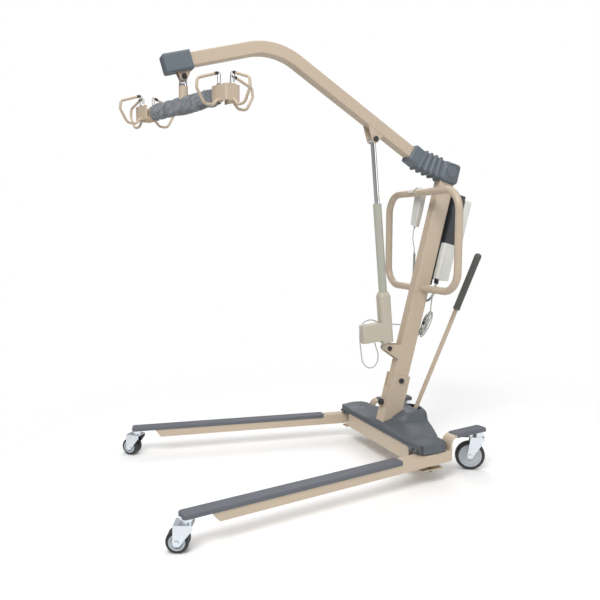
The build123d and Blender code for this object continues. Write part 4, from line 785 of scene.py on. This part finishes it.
class HOIST_OT_lever_grip(bpy.types.Operator):
    """Ribbed rubber grip on the shift lever"""

    bl_idname = "hoist.lever_grip"
    bl_label = "Lever grip"

    def execute(self, context):
        ribs = context.scene.hoist_sizes.grip_ribs
        profile = [(0.0, 0.0), (0.0097, 0.0), (0.0150, 0.0), (GRIP_RADIUS, 0.002), (GRIP_RADIUS, 0.012)]
        low, high = 0.014, GRIP_LENGTH - 0.026
        groove, rib = 0.0141, 0.0152
        for i in range(ribs):
            a = low + (high - low) * i / ribs
            b = (high - low) / ribs
            profile += [(groove, a + 0.12 * b), (groove, a + 0.38 * b),
                        (rib, a + 0.52 * b), (rib, a + 0.98 * b)]
        profile += [(GRIP_RADIUS, GRIP_LENGTH - 0.022), (0.0154, GRIP_LENGTH - 0.014),
                    (0.0132, GRIP_LENGTH - 0.006), (0.0085, GRIP_LENGTH - 0.0015), (0.0, GRIP_LENGTH)]
        grip = turned(profile, 36)
        lever = LEVER_MID * math.cos(LEVER_SIDE) + Vector((0, 1, 0)) * math.sin(LEVER_SIDE)
        settle(grip, along(LEVER_FOOT + lever * (LEVER_LENGTH - GRIP_LENGTH), lever))
        fix_normals(grip)
        dress(grip, "ribbed_grip", "grip_rubber", "lever", 35)
        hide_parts("lever_grip")
        return {"FINISHED"}


# ======================= boom and hanger =======================
class HOIST_OT_boom_boot(bpy.types.Operator):
    """Rubber boot over the boom's pivot: a head with a round cap on each side, bellows ribs and a collar"""

    bl_idname = "hoist.boom_boot"
    bl_label = "Boom boot"

    def execute(self, context):
        rise = Vector((math.cos(BOOM_RISE), 0, math.sin(BOOM_RISE)))
        head = basis(PIVOT, MAST_FORWARD, Vector((0, 1, 0)), MAST_UP)
        # the head's rear face stays ahead of the battery, which slides up past it
        blocks = [rounded_block((0.091, 0.088, 0.092), (0.0005, 0, -0.004), 0.016, place=head)]
        front = PIVOT + MAST_FORWARD * BOOT_FRONT
        collar = BOOM_START + rise * COLLAR_BACK
        steps = 8
        for i in range(steps):
            share = (i + 0.5) / steps
            middle = front.lerp(collar, share)
            turn = LEAN + (BOOM_RISE - LEAN) * share
            x = Vector((math.cos(turn), 0, math.sin(turn)))
            ridge = i % 2
            thick, wide = 0.0145 if ridge else 0.024, 0.068 + 0.012 * ridge
            size = (thick, wide, 0.078 - 0.004 * share + 0.015 * ridge)
            spot = along(middle, x.cross(Vector((0, 1, 0))) * -1, (0, 1, 0))
            blocks.append(rounded_block(size, (0, 0, 0), 0.0055, place=spot))
        spot = basis(BOOM_START + rise * 0.088, rise, Vector((0, 1, 0)), rise.cross(Vector((0, 1, 0))))
        blocks.append(rounded_block((0.058, 0.074, 0.077), (0, 0, 0), 0.008, place=spot))
        boot = join(blocks)
        for side in (1, -1):
            disc = turned([(0, -0.030), (0.037, -0.030), (0.037, 0.0005), (0.0355, 0.0028), (0.0330, 0.0028),
                           (0.0315, -0.0035), (0.0290, -0.0035), (0.0272, 0.0030), (0.012, 0.0044), (0, 0.0046)])
            well = turned([(0.0, -0.0045), (0.0345, -0.0045), (0.0345, 0.012), (0.0, 0.012)])
            spot = along(PIVOT + Vector((0, side * 0.0445, 0)), (0, side, 0), (0, 0, 1))
            settle(disc, spot)
            settle(well, spot)
            add_modifier(boot, "BOOLEAN", operation="DIFFERENCE", solver="EXACT", use_self=True,
                         object=well)
            bpy.data.objects.remove(well)
            boot = join([boot, disc])
        add_modifier(boot, "REMESH", mode="VOXEL", voxel_size=context.scene.hoist_sizes.boot_grain,
                     use_smooth_shade=True)
        add_modifier(boot, "SMOOTH", factor=0.5, iterations=5)
        dress(boot, "bellows_boot", "boot_rubber", None, 60)
        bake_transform(boot)
        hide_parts("boom_boot")
        return {"FINISHED"}


class HOIST_OT_sleeve(bpy.types.Operator):
    """Padded cloth sleeve on the hanger's bar, gathered at its ends and slack at its middle"""

    bl_idname = "hoist.sleeve"
    bl_label = "Hanger sleeve"

    def execute(self, context):
        wrinkle = context.scene.hoist_sizes.wrinkle
        deselect()
        rounds, rows, half = 96, 110, 0.214
        bpy.ops.mesh.primitive_cylinder_add(vertices=rounds, radius=1, depth=2 * half,
                                            end_fill_type="NOTHING")
        sleeve = bpy.context.object
        activate(sleeve)
        bpy.ops.object.mode_set(mode="EDIT")
        bpy.ops.mesh.select_all(action="DESELECT")
        bpy.ops.mesh.select_mode(type="EDGE")
        bpy.ops.object.mode_set(mode="OBJECT")
        for edge in sleeve.data.edges:
            ends = [sleeve.data.vertices[i].co for i in edge.vertices]
            edge.select = abs(ends[0].z - ends[1].z) > half
        bpy.ops.object.mode_set(mode="EDIT")
        bpy.ops.mesh.subdivide(number_cuts=rows)
        bpy.ops.object.mode_set(mode="OBJECT")
        for v in sleeve.data.vertices:
            t, angle = v.co.z, math.atan2(v.co.y, v.co.x)
            share = abs(t) / half
            # local x across the bar, local y up, t along it
            gather = 1 - 0.16 * smoothstep(0.86, 1.0, share)
            wide, tall = 0.0195 * gather, 0.0300 * gather
            cx, cz = math.cos(angle), math.sin(angle)
            power = 0.72  # below 1, so the section is fuller than an ellipse
            x = wide * math.copysign(abs(cx) ** power, cx)
            z = tall * math.copysign(abs(cz) ** power, cz)
            sample = Vector((t * 30, x * 46 + 3.1, z * 40))
            crease = 1 - 2 * abs(noise.noise(sample))
            fine = noise.noise(Vector((t * 120, x * 150, z * 150 + 7)))
            push = wrinkle * (crease * 0.62 - 0.30) + wrinkle * 0.24 * fine
            wander = noise.noise(Vector((t * 20, 0, 0))) * 5
            pleat = 0.0011 * math.sin(angle * 17 + wander) * smoothstep(0.72, 1.0, share)
            x += cx * (push + pleat)
            z += cz * (push + pleat)
            slack = math.exp(-((t - 0.02) / 0.06) ** 2)
            if z < 0:
                z -= 0.0035 * slack
            v.co = (x, t, z - 0.002)
        activate(sleeve)
        bpy.ops.object.mode_set(mode="EDIT")
        bpy.ops.mesh.select_all(action="SELECT")
        bpy.ops.mesh.region_to_loop()
        bpy.ops.mesh.edge_face_add()
        bpy.ops.object.mode_set(mode="OBJECT")
        fix_normals(sleeve)
        uv = sleeve.data.uv_layers.new(name="weave")
        for loop in sleeve.data.loops:
            co = sleeve.data.vertices[loop.vertex_index].co
            uv.data[loop.index].uv = (co.y * 6, math.atan2(co.z, co.x) * 0.16)
        settle(sleeve, hanger_frame())
        dress(sleeve, "padded_sleeve", "sleeve_fabric", "hanger", 50)
        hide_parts("hanger_sleeve")
        return {"FINISHED"}


class HOIST_OT_hook_tips(bpy.types.Operator):
    """Dark dipped tips of the sling hooks"""

    bl_idname = "hoist.hook_tips"
    bl_label = "Hook tips"

    def execute(self, context):
        x, y, up = (Vector(c[:3]) for c in hanger_frame().transposed()[:3])
        tips = []
        for side in (1, -1):
            for start, out in ((x * 0.031 + y * side * 0.259, x), (y * side * 0.303, y * side),
                               (x * -0.031 + y * side * 0.259, x * -1)):
                foot = HANGER + Vector((0, 0, BAR_Z)) + start
                tip = foot + out * 0.0005 + up * HOOK_TIP_UP
                back = foot + out * 0.086 + up * 0.036
                direction = (tip - back).normalized()
                cap = turned([(0, 0), (0.0052, 0.0), (0.0056, 0.001), (0.0056, 0.013), (0.0048, 0.0155),
                              (0.0028, 0.0172), (0, 0.0176)], 20)
                settle(cap, along(tip - direction * 0.0166, direction, (0, 0, 1)))
                tips.append(cap)
        dress(join(tips), "hook_tips", "black_plastic", "hanger")
        return {"FINISHED"}


PIECES = (
    HOIST_OT_stage, HOIST_OT_handset_cord, HOIST_OT_actuator_cord, HOIST_OT_base_cover, HOIST_OT_leg_pads,
    HOIST_OT_lever_grip, HOIST_OT_boom_boot, HOIST_OT_sleeve, HOIST_OT_hook_tips,
)


class HOIST_PT_panel(bpy.types.Panel):
    """The lift's pieces and what can be changed on them"""

    bl_idname = "HOIST_PT_panel"
    bl_label = "Patient lift"
    bl_space_type = "VIEW_3D"
    bl_region_type = "UI"
    bl_category = "Patient lift"

    def draw(self, context):
        for group in (context.scene.hoist_colours, context.scene.hoist_sizes):
            for name in group.__annotations__:
                self.layout.prop(group, name)
        for piece in PIECES:
            self.layout.operator(piece.bl_idname)


CLASSES = (HoistColours, HoistSizes, *PIECES, HOIST_PT_panel)


def register():
    for cls in CLASSES:
        bpy.utils.register_class(cls)
    bpy.types.Scene.hoist_colours = PointerProperty(type=HoistColours)
    bpy.types.Scene.hoist_sizes = PointerProperty(type=HoistSizes)


def unregister():
    del bpy.types.Scene.hoist_sizes
    del bpy.types.Scene.hoist_colours
    for cls in reversed(CLASSES):
        bpy.utils.unregister_class(cls)


def main():
    register()
    for piece in PIECES:
        module, name = piece.bl_idname.split(".")
        getattr(getattr(bpy.ops, module), name)()


if __name__ == "__main__":
    main()
